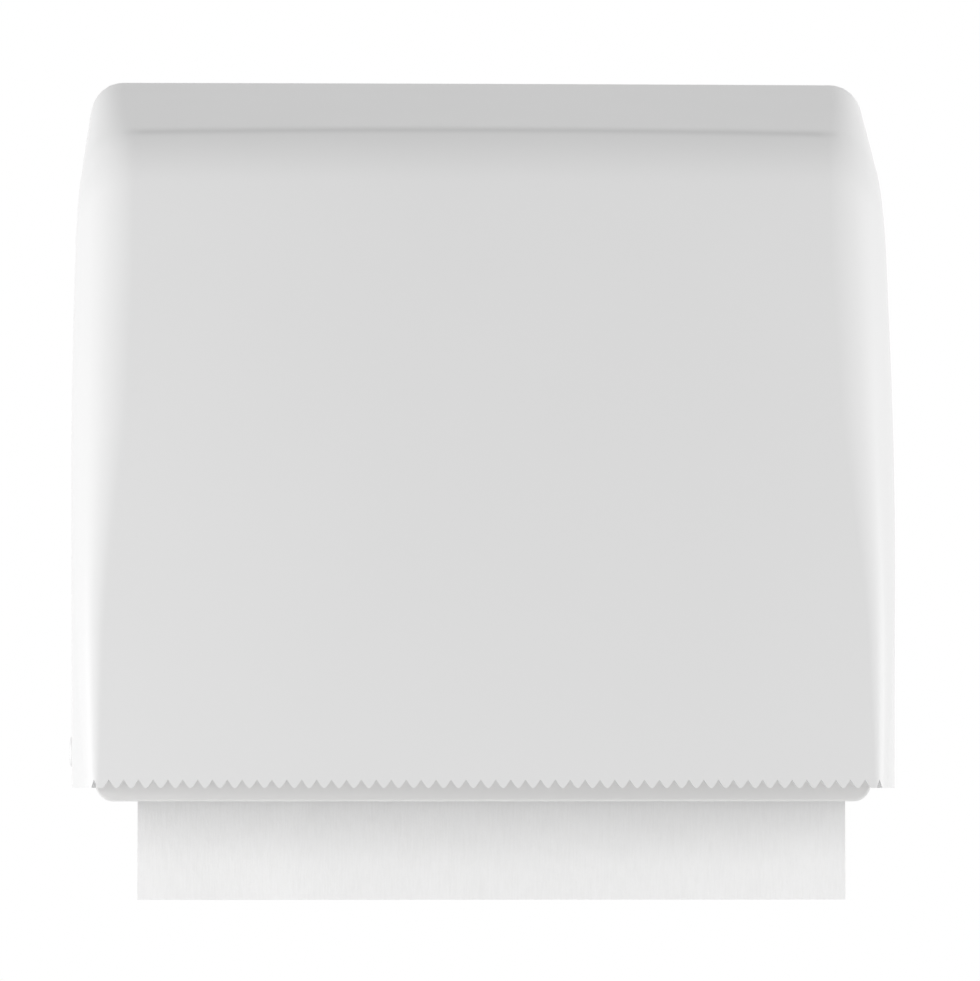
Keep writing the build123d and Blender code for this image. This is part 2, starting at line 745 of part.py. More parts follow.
def arm_springs():
    """Leaf springs that press the arms against the roll."""
    leaves = []
    for side in (-1, 1):
        face = roll_arm_pin_x(side) + side * (roll_arm_eye_radius + side_play)
        leaf = block(face, face + side * leaf_thickness, -plate_thickness - leaf_length,
                     -plate_thickness, roll_z - leaf_height / 2, roll_z + leaf_height / 2)
        reach = roll_arm_x(side) + side * (roll_arm_thickness + side_play)
        tip_y = -plate_thickness - leaf_length
        leaf += block(reach, face + side * leaf_thickness, tip_y, tip_y + leaf_thickness,
                      roll_z - leaf_height / 2, roll_z + leaf_height / 2)
        leaves.append(leaf)
    return leaves


# Latch -------------------------------------------------------------------------------------------
def latch_tongue():
    """The sprung tongue whose hook holds the cover's keeper rib."""
    front = -plate_thickness
    tongue = block(-latch_width / 2, latch_width / 2, -latch_reach, front,
                   latch_z, latch_z + latch_thickness)
    hook = block(-latch_width / 2, latch_width / 2, -latch_reach,
                 -latch_reach + latch_thickness, latch_z, latch_z + latch_hook_height)
    tongue += hook
    for x in (-latch_width / 4, latch_width / 4):
        tongue -= Pos(x, front - latch_shelf_depth / 2, latch_z) * Cylinder(rivet_radius, 10)
    return tongue


def latch_rivets():
    rivets = []
    top = latch_z + latch_thickness
    bottom = latch_z - latch_shelf_thickness
    for x in (-latch_width / 4, latch_width / 4):
        place = Pos(x, -plate_thickness - latch_shelf_depth / 2, (top + bottom) / 2)
        rivet = place * Cylinder(rivet_radius, top - bottom)
        for z in (top + rivet_head_height / 2, bottom - rivet_head_height / 2):
            rivet += Pos(place.position.X, place.position.Y, z) * Cylinder(
                rivet_head_radius, rivet_head_height)
        rivets.append(rivet)
    return rivets


# Every piece, written in turn --------------------------------------------------------------------
save("front_cover", front_cover())
save("cover_pivots", *cover_pivots())
save("wall_plate", wall_plate())
save("right_side_frame", side_frame())
save("left_side_frame", mirrored(side_frame()))
save("frame_screws", *frame_screws())
save("bottom_tray", bottom_tray())

lever_bush = flanged_bush(lever_shaft_radius, lever_y, lever_z)
drive_bush = flanged_bush(drive_shaft_radius, drive_y, nip_z)
save("lever_bushes", lever_bush, mirrored(lever_bush))
save("drive_bush", drive_bush)
save("backstop_clutch", mirrored(drive_bush))

save("push_lever", push_lever())
save("lever_shaft", rod(lever_shaft_radius, -arm_outer - circlip_thickness,
                        arm_outer + circlip_thickness, lever_y, lever_z))
save("lever_circlips", *circlips())
save("lever_sector", lever_sector())
save("lever_stops", *lever_stops())
save("lever_spring", lever_spring())
save("spring_post", rod(spring_post_radius, -frame_inner,
                        gear_inner + side_play + lever_spring_length, *spring_post_place()))

save("drive_pinion", drive_pinion())
save("clutch_hub", tube(drive_shaft_radius + clutch_wall, drive_shaft_radius, gear_outer,
                        gear_inner, drive_y, nip_z))
save("drive_shaft", rod(drive_shaft_radius, -frame_outer, frame_outer, drive_y, nip_z))
save("drive_drum", tube(drum_radius, drive_shaft_radius, web_left, web_right, drive_y, nip_z))
save("grip_sleeves", *sleeves(grip_count, grip_length, grip_radius, drum_radius, drive_y))

save("pressure_blocks", *pressure_blocks())
save("pressure_springs", *pressure_springs())
save("pressure_shaft", rod(press_shaft_radius, -frame_outer, frame_outer, press_y, nip_z))
save("pressure_tube", tube(press_tube_radius, press_shaft_radius + running_fit, web_left,
                           web_right, press_y, nip_z))
save("pressure_tyres", *sleeves(press_tyre_count, press_tyre_length, press_radius,
                                press_tube_radius, press_y))

for side, name in ((-1, "left"), (1, "right")):
    save(f"{name}_roll_arm", roll_arm(side))
    save(f"{name}_roll_hub", roll_hub(side))
save("roll_arm_pins", *arm_pins())
save("roll_arm_springs", *arm_springs())
save("paper_roll", tube(roll_radius, core_outer_radius, web_left, web_right, roll_y, roll_z))
save("roll_core", tube(core_outer_radius, core_inner_radius, web_left, web_right,
                       roll_y, roll_z))
save("paper_web", paper_web())

save("latch_tongue", latch_tongue())
save("latch_rivets", *latch_rivets())
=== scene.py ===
# %% [markdown]
# # A wall towel dispenser with a push lever
# The frame that is loaded here is the engineering model: every node already has its place and its
# body. This lesson dresses it. Sizes below are in millimetres, with the cover's lower edge at z = 0
# and the wall at y = 0, and one function turns them into the frame's metres.

# %% Load the frame
import json
import math
import bmesh
import bpy
import numpy as np
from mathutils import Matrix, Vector


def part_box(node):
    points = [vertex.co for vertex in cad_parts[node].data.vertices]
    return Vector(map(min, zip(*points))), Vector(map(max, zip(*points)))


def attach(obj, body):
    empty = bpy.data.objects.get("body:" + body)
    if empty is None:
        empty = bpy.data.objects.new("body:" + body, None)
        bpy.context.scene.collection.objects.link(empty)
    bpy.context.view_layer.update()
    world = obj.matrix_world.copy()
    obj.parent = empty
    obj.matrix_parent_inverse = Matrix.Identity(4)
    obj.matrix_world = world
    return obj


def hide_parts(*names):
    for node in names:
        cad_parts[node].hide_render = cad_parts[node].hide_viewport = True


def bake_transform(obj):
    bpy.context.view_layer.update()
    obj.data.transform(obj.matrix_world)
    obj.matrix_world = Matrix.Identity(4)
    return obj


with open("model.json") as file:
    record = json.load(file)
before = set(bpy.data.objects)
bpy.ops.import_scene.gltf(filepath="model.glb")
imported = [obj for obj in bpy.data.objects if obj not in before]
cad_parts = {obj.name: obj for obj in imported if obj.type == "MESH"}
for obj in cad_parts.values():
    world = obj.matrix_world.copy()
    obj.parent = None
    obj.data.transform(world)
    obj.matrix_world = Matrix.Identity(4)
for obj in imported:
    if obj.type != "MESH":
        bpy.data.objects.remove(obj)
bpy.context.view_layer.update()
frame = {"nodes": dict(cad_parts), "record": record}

scene = bpy.context.scene

# %% [markdown]
# ## Surfaces from formulas
# A moulded part is a surface over two running numbers, so each piece here is a grid of points that
# numpy works out in one go. Modelling by hand in the viewport would also work, but a formula keeps
# the sizes exact and the grid even, and an even grid shades without ripples.

# %% Grids of points to meshes
MOUNT_HEIGHT = 135.0
MERGE = 2e-6                            # metres: points closer than this are one


def to_frame(points):
    """The frame's metres from millimetres: z less the mount height, and all over 1000."""
    return (np.asarray(points, dtype=float) - (0, 0, MOUNT_HEIGHT)) / 1000


def grid_faces(rows, columns, first, loop):
    """Each face's four corners: a point and its right, upper right and upper neighbours."""
    r, c = np.meshgrid(np.arange(rows - 1), np.arange(columns - (not loop)), indexing="ij")
    right = (c + 1) % columns
    low, high = r * columns, (r + 1) * columns
    return first + np.stack([low + c, low + right, high + right, high + c], -1).reshape(-1, 4)


def patch(points, loop=False):
    """A grid of points, and whether its last column joins up with its first."""
    return np.asarray(points, dtype=float), loop


def build(name, patches, sharp=35.0, closed=True):
    """One mesh object from several grids.

    Shared borders are merged, open rims are filled and faces are turned outwards. A filled face is
    flat, so it is shaded flat, and every other face is shaded smoothly up to the sharp angle.
    """
    points, faces, count = [], [], 0
    for grid, loop in patches:
        rows, columns = grid.shape[:2]
        faces.append(grid_faces(rows, columns, count, loop))
        points.append(grid.reshape(-1, 3))
        count += rows * columns
    points, faces = to_frame(np.concatenate(points)), np.concatenate(faces)
    mesh = bpy.data.meshes.new(name)
    mesh.from_pydata(points, [], faces)
    work = bmesh.new()
    work.from_mesh(mesh)
    bmesh.ops.remove_doubles(work, verts=work.verts, dist=MERGE)
    bmesh.ops.dissolve_degenerate(work, edges=work.edges, dist=MERGE / 2)
    for face in work.faces:
        face.smooth = True
    if closed:
        rims = [edge for edge in work.edges if edge.is_boundary]
        for face in bmesh.ops.holes_fill(work, edges=rims, sides=0)["faces"]:
            face.smooth = False
        bmesh.ops.recalc_face_normals(work, faces=work.faces)
    work.to_mesh(mesh)
    work.free()
    mesh.set_sharp_from_angle(angle=math.radians(sharp))
    obj = bpy.data.objects.new(name, mesh)
    scene.collection.objects.link(obj)
    return obj


def place(obj, body, nodes, material, moving_end=None):
    """Ride on a body unless a moving end is given, stand for engineered nodes, and take a slot's
    finish.

    A spring's moving end names a second body, the point where the spring stops following the
    first one, and the point where it follows only the second; these are not used, and a mesh given
    one stays fixed where it stands.
    """
    obj.data.materials.clear()
    obj.data.materials.append(material)
    if moving_end:
        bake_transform(obj)
    else:
        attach(obj, body)
    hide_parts(*nodes)
    print(f"{obj.name}: {len(obj.data.polygons)} faces on {body}")


print("a grid of 3 by 4 points has", len(grid_faces(3, 4, 0, False)), "faces")


# %% Turned and extruded shapes
def ring_of(outline, turns, centre):
    """A (place along x, radius) outline turned about x: y, z = centre + radius * (cos, sin)."""
    outline = np.asarray(outline, dtype=float)
    angle = np.arange(turns) * 2 * math.pi / turns
    x = np.repeat(outline[:, :1], turns, 1)
    r = outline[:, 1:2]
    y, z = centre[0] + r * np.cos(angle), centre[1] + r * np.sin(angle)
    return patch(np.stack([x, y, z], -1), loop=True)


def rounded_path(points, radii, steps=6):
    """A closed outline whose corners are arcs.

    Each corner's arc starts and ends at radius * tan(half the turn) from the corner, and its points
    lie on the circle that touches both sides there.
    """
    p = np.asarray(points, dtype=float)
    radii = np.broadcast_to(np.asarray(radii, dtype=float), len(p))
    before, after = np.roll(p, 1, 0) - p, np.roll(p, -1, 0) - p
    before /= np.linalg.norm(before, axis=1, keepdims=True)
    after /= np.linalg.norm(after, axis=1, keepdims=True)
    half = np.arccos(np.clip((before * after).sum(1), -1, 1)) / 2
    middle = before + after
    middle /= np.maximum(np.linalg.norm(middle, axis=1, keepdims=True), 1e-9)
    centre = p + middle * (radii / np.sin(half))[:, None]
    reach = radii / np.tan(half)
    start, end = p + before * reach[:, None] - centre, p + after * reach[:, None] - centre
    share = np.linspace(0, 1, steps)[None, :, None]
    arc = start[:, None] * (1 - share) + end[:, None] * share
    length = np.linalg.norm(arc, axis=2, keepdims=True)
    arc *= radii[:, None, None] / np.maximum(length, 1e-9)
    return (centre[:, None] + arc).reshape(-1, 2)


def slab(outline, low, high, edge, plane, steps=4):
    """A flat plate with rounded rims; plane "yzx" draws the outline in y, z and thickens along x.

    At each level the outline is drawn in by edge * (1 - sin) while the level moves by
    edge * (1 - cos), which is a quarter circle at both rims. The flat caps are filled later. The
    outline's own corners are rounder than the edge, so that it doesn't cross itself when drawn in.
    """
    outline = np.asarray(outline, dtype=float)
    ahead, behind = np.roll(outline, -1, 0), np.roll(outline, 1, 0)
    run = ahead - behind
    normal = np.stack([run[:, 1], -run[:, 0]], 1)
    normal /= np.maximum(np.linalg.norm(normal, axis=1, keepdims=True), 1e-9)
    normal *= np.sign(np.sum(outline[:, 0] * ahead[:, 1] - ahead[:, 0] * outline[:, 1]))
    turn = np.linspace(0, math.pi / 2, steps)
    lower = low + edge * (1 - np.cos(turn))
    drawn = edge * (1 - np.sin(turn))
    levels = np.concatenate([lower, (low + high - lower)[::-1]])
    drawn = np.concatenate([drawn, drawn[::-1]])
    flat = outline[None] - normal[None] * drawn[:, None, None]
    height = np.broadcast_to(levels[:, None, None], flat.shape[:2] + (1,))
    grid = np.concatenate([flat, height], -1)
    return patch(grid[..., [plane.index(axis) for axis in "xyz"]], loop=True)


def box_outline(u0, u1, v0, v1, radius):
    """A rectangle's outline with rounded corners."""
    return rounded_path([(u0, v0), (u1, v0), (u1, v1), (u0, v1)], radius, 4)


GUIDE = (0.13, 0.31, 0.94)              # a direction that no wire here runs along


def tube_along(path, radius, turns=10):
    """A wire: circles of the given radius round each point, square to the path there.

    Each circle's sideways direction is square to the path and to one guide, so none twists.
    """
    path = np.asarray(path, dtype=float)
    along = np.gradient(path, axis=0)
    along /= np.linalg.norm(along, axis=1, keepdims=True)
    side = np.cross(along, GUIDE)
    side /= np.linalg.norm(side, axis=1, keepdims=True)
    up = np.cross(along, side)
    angle = np.linspace(0, 2 * math.pi, turns, endpoint=False)[None, :, None]
    grid = path[:, None] + radius * (np.cos(angle) * side[:, None] + np.sin(angle) * up[:, None])
    return patch(grid, loop=True)


print("a box's outline has", len(box_outline(0, 9, 0, 9, 1)), "points")

# %% [markdown]
# ## The moulded cover
# The cover is one gloss-white moulding: a roof that slopes up to the wall, a soft shoulder, a front
# that leans back and bows forward, and sides that curve in towards the front. Fitting a subdivided
# box would take many hand-set creases. A grid over two numbers is used instead: one runs from the
# lower front edge, over the shoulder, to the wall, and the other from the middle of the front,
# round the corner and back along the side.

# %% The cover's profile
HALF_WIDTH, FLARE, WALL = 145.6, 2.3, 2.5
DEPTH, HEIGHT = 200.0, 270.0
SHOULDER_REACH, SHOULDER_HEIGHT, SHOULDER_RADIUS = 104.0, 234.6, 42.0
BOW, FRONT_HALF = 10.0, 133.0
BACK = 3.0
FRONT_END, SHOULDER_END = 0.70, 0.80    # where the front and the shoulder stop, as shares
GROOVE_AT = 0.781                       # where the groove crosses the shoulder, as a share


def cover_profile(t, x, inset):
    """The (y, z) of the cover's skin at share t of the way up, x from the middle.

    The front is a straight line from the lower edge, the shoulder an arc that touches it and the
    roof, and the roof a straight line to the wall. Both lines move in by the inset. The bow moves
    the front by 10 * (x / 133) squared.
    """
    bow = BOW * (x / FRONT_HALF) ** 2
    front = np.stack([np.full_like(bow, DEPTH - SHOULDER_REACH),
                      np.full_like(bow, SHOULDER_HEIGHT)])
    front /= np.linalg.norm(front, axis=0)
    roof = np.stack([SHOULDER_REACH - bow, np.full_like(bow, HEIGHT - SHOULDER_HEIGHT)])
    roof /= np.linalg.norm(roof, axis=0)
    corner = np.stack([bow - SHOULDER_REACH, np.full_like(bow, SHOULDER_HEIGHT)])
    turn = np.arctan2(front[1], front[0]) - np.arctan2(roof[1], roof[0])
    front_in = np.stack([front[1], -front[0]])
    roof_in = np.stack([roof[1], -roof[0]])
    middle = front_in + roof_in
    corner = corner + middle * inset / (middle * front_in).sum(0)
    radius = SHOULDER_RADIUS - inset
    reach = radius * np.tan(turn / 2)
    low = corner - front * corner[1] / front[1]
    high = corner + roof * ((-BACK - corner[0]) / roof[0])
    on_front = low + (corner - front * reach - low) * np.clip(t / FRONT_END, 0, 1)
    centre = corner - front * reach + front_in * radius
    angle = turn * np.clip((t - FRONT_END) / (SHOULDER_END - FRONT_END), 0, 1)
    on_arc = centre - radius * (front_in * np.cos(angle) - front * np.sin(angle))
    start = corner + roof * reach
    on_roof = start + (high - start) * np.clip((t - SHOULDER_END) / (1 - SHOULDER_END), 0, 1)
    return np.where(t <= FRONT_END, on_front, np.where(t <= SHOULDER_END, on_arc, on_roof))


print("lower front edge:", np.round(cover_profile(np.zeros(1), np.zeros(1), 0.0).ravel(), 2))


# %% The side's curve and the corner's turn
SIDE_REACH, SIDE_CURVE = 95.0, 410.0
CORNER_ACROSS = ((0.0, 3.6), (0.2, 9.0), (0.41, 18.5), (0.6, 22.0), (0.75, 21.5), (0.9, 15.0),
                 (1.0, 12.5))
CORNER_DEEP = ((0.0, 5.5), (0.2, 11.5), (0.41, 21.0), (0.6, 28.0), (0.75, 32.0), (0.9, 22.0),
               (1.0, 15.0))
PULL_FRONT, PULL_SIDE = 0.55, 0.62


def side_of(y, z, inset):
    """How far out the side stands: straight from the wall, then in by (distance past 95)^2 / 820.

    It flares by 2.3 mm from the lower edge to the top.
    """
    half = HALF_WIDTH + FLARE * z / HEIGHT - inset
    return half - np.maximum(0, -SIDE_REACH - y) ** 2 / (2 * SIDE_CURVE)


def corner_turn(q):
    """Shares across and deep of a corner's cubic curve, from along the front to along the side."""
    across = 3 * (1 - q) ** 2 * q * PULL_FRONT + 3 * (1 - q) * q ** 2 + q ** 3
    deep = 3 * (1 - q) * q ** 2 * (1 - PULL_SIDE) + q ** 3
    return across, deep


def cover_skin(t, u, q, v, inset):
    """Right half of the skin: u runs over the front, q round the corner, v along the side.

    Every line of the side runs from the skin towards the lower back corner, so the lower edge and
    the back edge are lines of the same grid. A corner shrinks by a third of the inset. The bow
    and the side depend on each other, and three rounds settle them.
    """
    t, u, q, v = np.broadcast_arrays(t[:, None], u, q, v)
    across, deep = (np.interp(t, *np.transpose(c)) for c in (CORNER_ACROSS, CORNER_DEEP))
    across, deep = across - inset / 3, deep - inset / 3
    share_across, share_deep = corner_turn(q)
    x = u * (HALF_WIDTH - inset - across) + share_across * across
    for _ in range(3):
        y, z = cover_profile(t, x, inset)
        run = np.hypot(-BACK - y, z)
        depth = share_deep * deep / run
        depth = depth + (1 - depth) * v
        y, z = y + (-BACK - y) * depth, z * (1 - depth)
        side = side_of(y, z, inset)
        x = np.where(u < 1, u * (side - across), side - across * (1 - share_across))
    return x, y, z


print("half the width at the wall:", side_of(-BACK, 0.0, 0.0))

# %% [markdown]
# ## Finishes as arithmetic
# A node tree is a sum that Blender draws as boxes. Wiring the boxes by hand is easy to look at and
# slow to change, so a small class lets a finish be written as ordinary arithmetic, and each
# operator adds the Math node that does it.

# %% A socket that can be added and multiplied
class Flow:
    """One output socket; the operators below each add a Math node."""

    def __init__(self, finish, socket):
        self.finish, self.socket = finish, socket

    def math(self, operation, *values):
        """Add one Math node over numbers and sockets."""
        inputs = dict(enumerate(values))
        return self.finish.node("ShaderNodeMath", {"operation": operation}, inputs)

    def __add__(self, other):
        return self.math("ADD", self, other)

    def __radd__(self, other):
        return self.math("ADD", other, self)

    def __sub__(self, other):
        return self.math("SUBTRACT", self, other)

    def __rsub__(self, other):
        return self.math("SUBTRACT", other, self)

    def __mul__(self, other):
        return self.math("MULTIPLY", self, other)

    def __rmul__(self, other):
        return self.math("MULTIPLY", other, self)

    def __truediv__(self, other):
        return self.math("DIVIDE", self, other)

    def __pow__(self, other):
        return self.math("POWER", self, other)

    def held(self):
        """No less than 0 and no more than 1."""
        return self.math("MINIMUM", self.math("MAXIMUM", self, 0.0), 1.0)


class Finish:
    """A material under one Principled shader, with one method that adds any node."""

    def __init__(self, name, **values):
        self.material = bpy.data.materials.new(name)
        self.material.use_nodes = True
        self.tree = self.material.node_tree
        self.tree.nodes.clear()
        names = {key.replace("_", " ").title(): value for key, value in values.items()}
        if "Ior" in names:
            names["IOR"] = names.pop("Ior")
        shader = self.node("ShaderNodeBsdfPrincipled", {}, names)
        self.shader = shader.socket.node
        self.node("ShaderNodeOutputMaterial", {}, {"Surface": shader}, output=None)

    def node(self, kind, settings, inputs, output=0):
        """Add a node: its settings come first, then its sockets' values or links."""
        made = self.tree.nodes.new(kind)
        for key, value in settings.items():
            if key == "stops":
                ramp = made.color_ramp
                for stop, (position, colour) in zip(ramp.elements, value):
                    stop.position, stop.color = position, colour
            else:
                setattr(made, key, value)
        for key, value in inputs.items():
            if isinstance(value, Flow):
                self.tree.links.new(value.socket, made.inputs[key])
            else:
                made.inputs[key].default_value = value
        return None if output is None else Flow(self, made.outputs[output])

    def feed(self, **links):
        """Link flows to the shader, such as base_color or normal."""
        for key, flow in links.items():
            self.tree.links.new(flow.socket, self.shader.inputs[key.replace("_", " ").title()])

    def here(self):
        """Object coordinates."""
        return self.node("ShaderNodeTexCoord", {}, {}, "Object")

    def axes(self):
        """The x, y and z of Object coordinates, a flow each."""
        split = self.node("ShaderNodeSeparateXYZ", {}, {"Vector": self.here()}).socket.node
        return [Flow(self, split.outputs[axis]) for axis in "XYZ"]

    def noise(self, size, detail=2.0, stretch=(1, 1, 1), rough=0.5):
        """Noise whose lumps are about the given size, in metres; 0 to 1, middle 0.5."""
        stretched = self.node("ShaderNodeMapping", {}, {"Vector": self.here(), "Scale": stretch})
        return self.node("ShaderNodeTexNoise", {}, {
            "Vector": stretched, "Scale": 1 / size, "Detail": detail, "Roughness": rough})

    def mix(self, share, low, high):
        """A colour between two colours."""
        return self.node("ShaderNodeMix", {"data_type": "RGBA"},
                         {0: share, 6: low, 7: high}, output=2)

    def bump(self, height, depth):
        """A surface that stands up by height, 0 to 1, times depth in metres."""
        return self.node("ShaderNodeBump", {}, {
            "Height": height, "Distance": depth, "Strength": 1.0})


def tone(value, warm=0.0):
    """A grey with a touch of warmth, as a colour."""
    return (value * (1 + warm), value, value * (1 - warm), 1.0)


def tell(*materials):
    """Print the names of new finishes."""
    print("finishes:", ", ".join(material.name for material in materials))


print("a warm grey:", tone(0.5, 0.01))

# %% [markdown]
# ## The finishes
# Moulded gloss plastic is smooth with a faint orange peel, matte plastic carries the sparked
# texture of its tool, paper towel is creped in fine ribs, and ground steel has a grain along its
# length. Painting these as images would fix their size; noise on object coordinates keeps each
# grain at its real scale on every piece.

# %% Gloss plastic, for the cover and the lever
# Painted shade: a dark band in the cover's colour along the groove across the shoulder.
PAINTED_SHADE_HALF_WIDTH, PAINTED_SHADE_REACH, PAINTED_SHADE_FADE, PAINTED_SHADE_DARKNESS = 0.0015, 0.131, 0.008, 0.16


def gloss_plastic(name, base, warm, roughness, coat, line=None):
    """White moulding: slow tone drift, orange peel about 1.5 mm across, and faint rubbed patches.

    A line is the (height, half width, reach, darkness) of a band of painted shade, where the
    colour is darkened towards black along a moulded groove. Its share is e to the -(height off the
    line / half width) squared, and it fades out over the last 8 mm of its reach to either side.
    """
    made = Finish(name, roughness=roughness, ior=1.46, coat_weight=coat, coat_roughness=0.12)
    drift = made.noise(0.09, 2.0)
    colour = made.mix(drift, tone(base * 0.985, warm), tone(base * 1.01, warm))
    if line:
        height, half_width, reach, darkness = line
        x, _, z = made.axes()
        off = (z - height) / half_width
        fall = off * off * -1.0
        share = fall.math("EXPONENT", fall)
        inside = ((reach - x.math("ABSOLUTE", x)) / PAINTED_SHADE_FADE).held()
        # Painted shade: the colour goes towards black along the groove.
        colour = made.mix(share * inside * darkness, colour, tone(0.0))
    made.feed(base_color=colour)
    rubbed = made.noise(0.02, 4.0, (1, 1, 3))
    made.feed(roughness=roughness - 0.03 + 0.06 * rubbed)
    peel = made.noise(0.0016, 1.0)
    made.feed(normal=made.bump(peel, 0.000004))
    return made.material


# The cover's finish carries painted shade along its groove.
groove_z = cover_profile(np.array([GROOVE_AT]), np.zeros(1), 0.0)[1, 0]
painted_shade_line = ((groove_z - MOUNT_HEIGHT) / 1000, PAINTED_SHADE_HALF_WIDTH, PAINTED_SHADE_REACH, PAINTED_SHADE_DARKNESS)
cover_finish = gloss_plastic("moulded_gloss_white", 0.80, 0.0, 0.42, 0.10, painted_shade_line)
lever_finish = gloss_plastic("moulded_warm_white", 0.86, 0.006, 0.38, 0.10)
tell(cover_finish, lever_finish)


# %% Matte plastic, for the chassis and the rollers
def matte_plastic(name, colour, roughness=0.6, grain=0.0006, depth=0.00002):
    """Sparked texture from the tool: fine noise as bump, and a slow drift in tone."""
    made = Finish(name, roughness=roughness, ior=1.48)
    drift = made.noise(0.04, 3.0)
    low, high = tuple(c * 0.94 for c in colour), tuple(min(1, c * 1.05) for c in colour)
    made.feed(base_color=made.mix(drift, (*low, 1), (*high, 1)))
    spark = made.noise(grain, 3.0, rough=0.7)
    made.feed(roughness=roughness - 0.06 + 0.12 * spark)
    made.feed(normal=made.bump(spark, depth))
    return made.material


chassis_finish = matte_plastic("light_grey_moulding", (0.52, 0.53, 0.54))
gear_finish = matte_plastic("natural_acetal", (0.74, 0.71, 0.62), 0.42, 0.0009, 0.000008)
drum_finish = matte_plastic("dark_grey_moulding", (0.09, 0.095, 0.105), 0.5)
hub_finish = matte_plastic("blue_moulding", (0.045, 0.16, 0.40), 0.45)
tell(chassis_finish, gear_finish, drum_finish, hub_finish)


# %% Rubber, for the grips and the stops
def rubber(name, value=0.018):
    """Dull black with paper dust caught in it: lighter where a coarse noise is high."""
    made = Finish(name, roughness=0.8, ior=1.5)
    dust = made.noise(0.006, 5.0, rough=0.65) ** 3.0
    made.feed(base_color=made.mix(dust, tone(value), tone(value * 6, 0.02)))
    made.feed(roughness=0.66 + 0.25 * dust)
    made.feed(normal=made.bump(made.noise(0.0005, 2.0), 0.00003))
    return made.material


grip_finish = rubber("black_rubber")
tell(grip_finish)


# %% Metals, with a grain along x
def metal(name, colour, roughness, stretch=(0.06, 1, 1), depth=0.000004):
    """Ground bar: noise drawn out along x, so that it reads as grinding lines."""
    made = Finish(name, metallic=1.0, roughness=roughness)
    grain = made.noise(0.0006, 3.0, stretch, 0.6)
    stain = made.noise(0.012, 3.0)
    dull = tuple(c * 0.82 for c in colour)
    made.feed(base_color=made.mix(stain, (*dull, 1), (*colour, 1)))
    made.feed(roughness=roughness - 0.08 + 0.16 * grain)
    made.feed(normal=made.bump(grain, depth))
    return made.material


steel_finish = metal("ground_steel", (0.60, 0.60, 0.61), 0.30)
spring_finish = metal("spring_steel", (0.42, 0.42, 0.44), 0.36, (1, 1, 1))
screw_finish = metal("bright_zinc", (0.66, 0.66, 0.68), 0.26, (1, 1, 1))
bush_finish = metal("sintered_bronze", (0.60, 0.42, 0.20), 0.42, (1, 1, 1), 0.00002)
tell(steel_finish, spring_finish, screw_finish, bush_finish)


# %% Creped paper
def creped_paper(name, base, ribs):
    """Towel: fine ribs across its travel, broken by fibres.

    The ribs are noise drawn out along z, about half a millimetre apart along x, the fibres a finer
    noise, and the puckers a coarse one. The colour reads the rib and fibre noise of the bump, so
    the hollows are a little darker as painted shade, and a slow noise varies the tone at random.
    """
    made = Finish(name, roughness=0.92, ior=1.3, sheen_weight=0.15, sheen_roughness=0.6)
    rib = made.noise(0.0007, 2.0, (1, 1, 0.10), 0.6)
    fibre = made.noise(0.0004, 3.0, (1, 1, 0.5), 0.7)
    cloud = made.noise(0.012, 3.0)
    pucker = made.noise(0.0032, 2.0, (1, 1, 0.6), 0.6)
    mix = 0.45 * rib + 0.30 * fibre + 0.25 * cloud
    # Painted shade: the ramp darkens where the rib and fibre noise is low, in the bump's hollows.
    ramp = made.node("ShaderNodeValToRGB", {"stops": [
        (0.36, tone(base * 0.955, 0.002)), (0.60, tone(base, 0.001))]}, {"Fac": mix})
    made.feed(base_color=ramp)
    made.feed(normal=made.bump(0.6 * rib + 0.3 * fibre + 1.5 * pucker ** 3.0, ribs))
    return made.material


towel_finish = creped_paper("creped_towel", 0.955, 0.00007)
tell(towel_finish)


# %% Cardboard
def cardboard(name):
    """Board wound from waste paper: grey-brown, with flecks drawn out along the tube."""
    made = Finish(name, roughness=0.85, ior=1.4)
    fleck = made.noise(0.0012, 4.0, (0.4, 1, 1), 0.7)
    made.feed(base_color=made.mix(fleck, (0.30, 0.20, 0.12, 1), (0.52, 0.39, 0.25, 1)))
    made.feed(normal=made.bump(fleck, 0.00004))
    return made.material


core_finish = cardboard("spiral_cardboard")
tell(core_finish)

# %% [markdown]
# ## Teeth, groove and wall
# The towel is torn on teeth that are moulded into the lower front edge, one every 5 mm. Cutting 54
# notches with booleans would leave ragged shading, so the grid's own columns stand on the notch
# points and only its lowest row moves up into them. A shallow groove crosses the shoulder. The
# inner wall is the same grid, drawn in by the wall's thickness, and two strips close the rims.

# %% Where the columns of the cover's grid stand
TOOTH_PITCH, TOOTH_HEIGHT, NOTCHES = 5.0, 2.8, 54
NOTCH_HALF, NOTCH_POWER = 2.1, 1.15
TEETH_BEYOND = 150.0                    # teeth stand where the lower edge is this far from the wall
TOOTH_ROW, NEXT_ROW = 0.0165, 0.035     # shares of the way up: where the notches end, and above
GROOVE_ROWS = 0.010                     # share to either side of the groove with closer rows
SAMPLES, CORNER_COLUMNS, SIDE_COLUMNS, SIDE_SPREAD = 801, 16, 25, 1.15


def tooth_rise(x):
    """How far the lower edge rises at x: 2.8 at a notch's middle, falling to 0 at 2.1 either side.

    The fall follows share to the power 1.15, so the tips are a little rounded. The first and the
    last notch run out into the corners, so they are half as wide.
    """
    from_middle = np.abs(np.mod(np.abs(x), TOOTH_PITCH) - TOOTH_PITCH / 2)
    half = np.where(np.abs(x) > (NOTCHES / 2 - 1) * TOOTH_PITCH, NOTCH_HALF / 2, NOTCH_HALF)
    share = np.clip(1 - from_middle / half, 0, 1)
    return np.where(np.abs(x) < NOTCHES * TOOTH_PITCH / 2, TOOTH_HEIGHT * share ** NOTCH_POWER, 0)


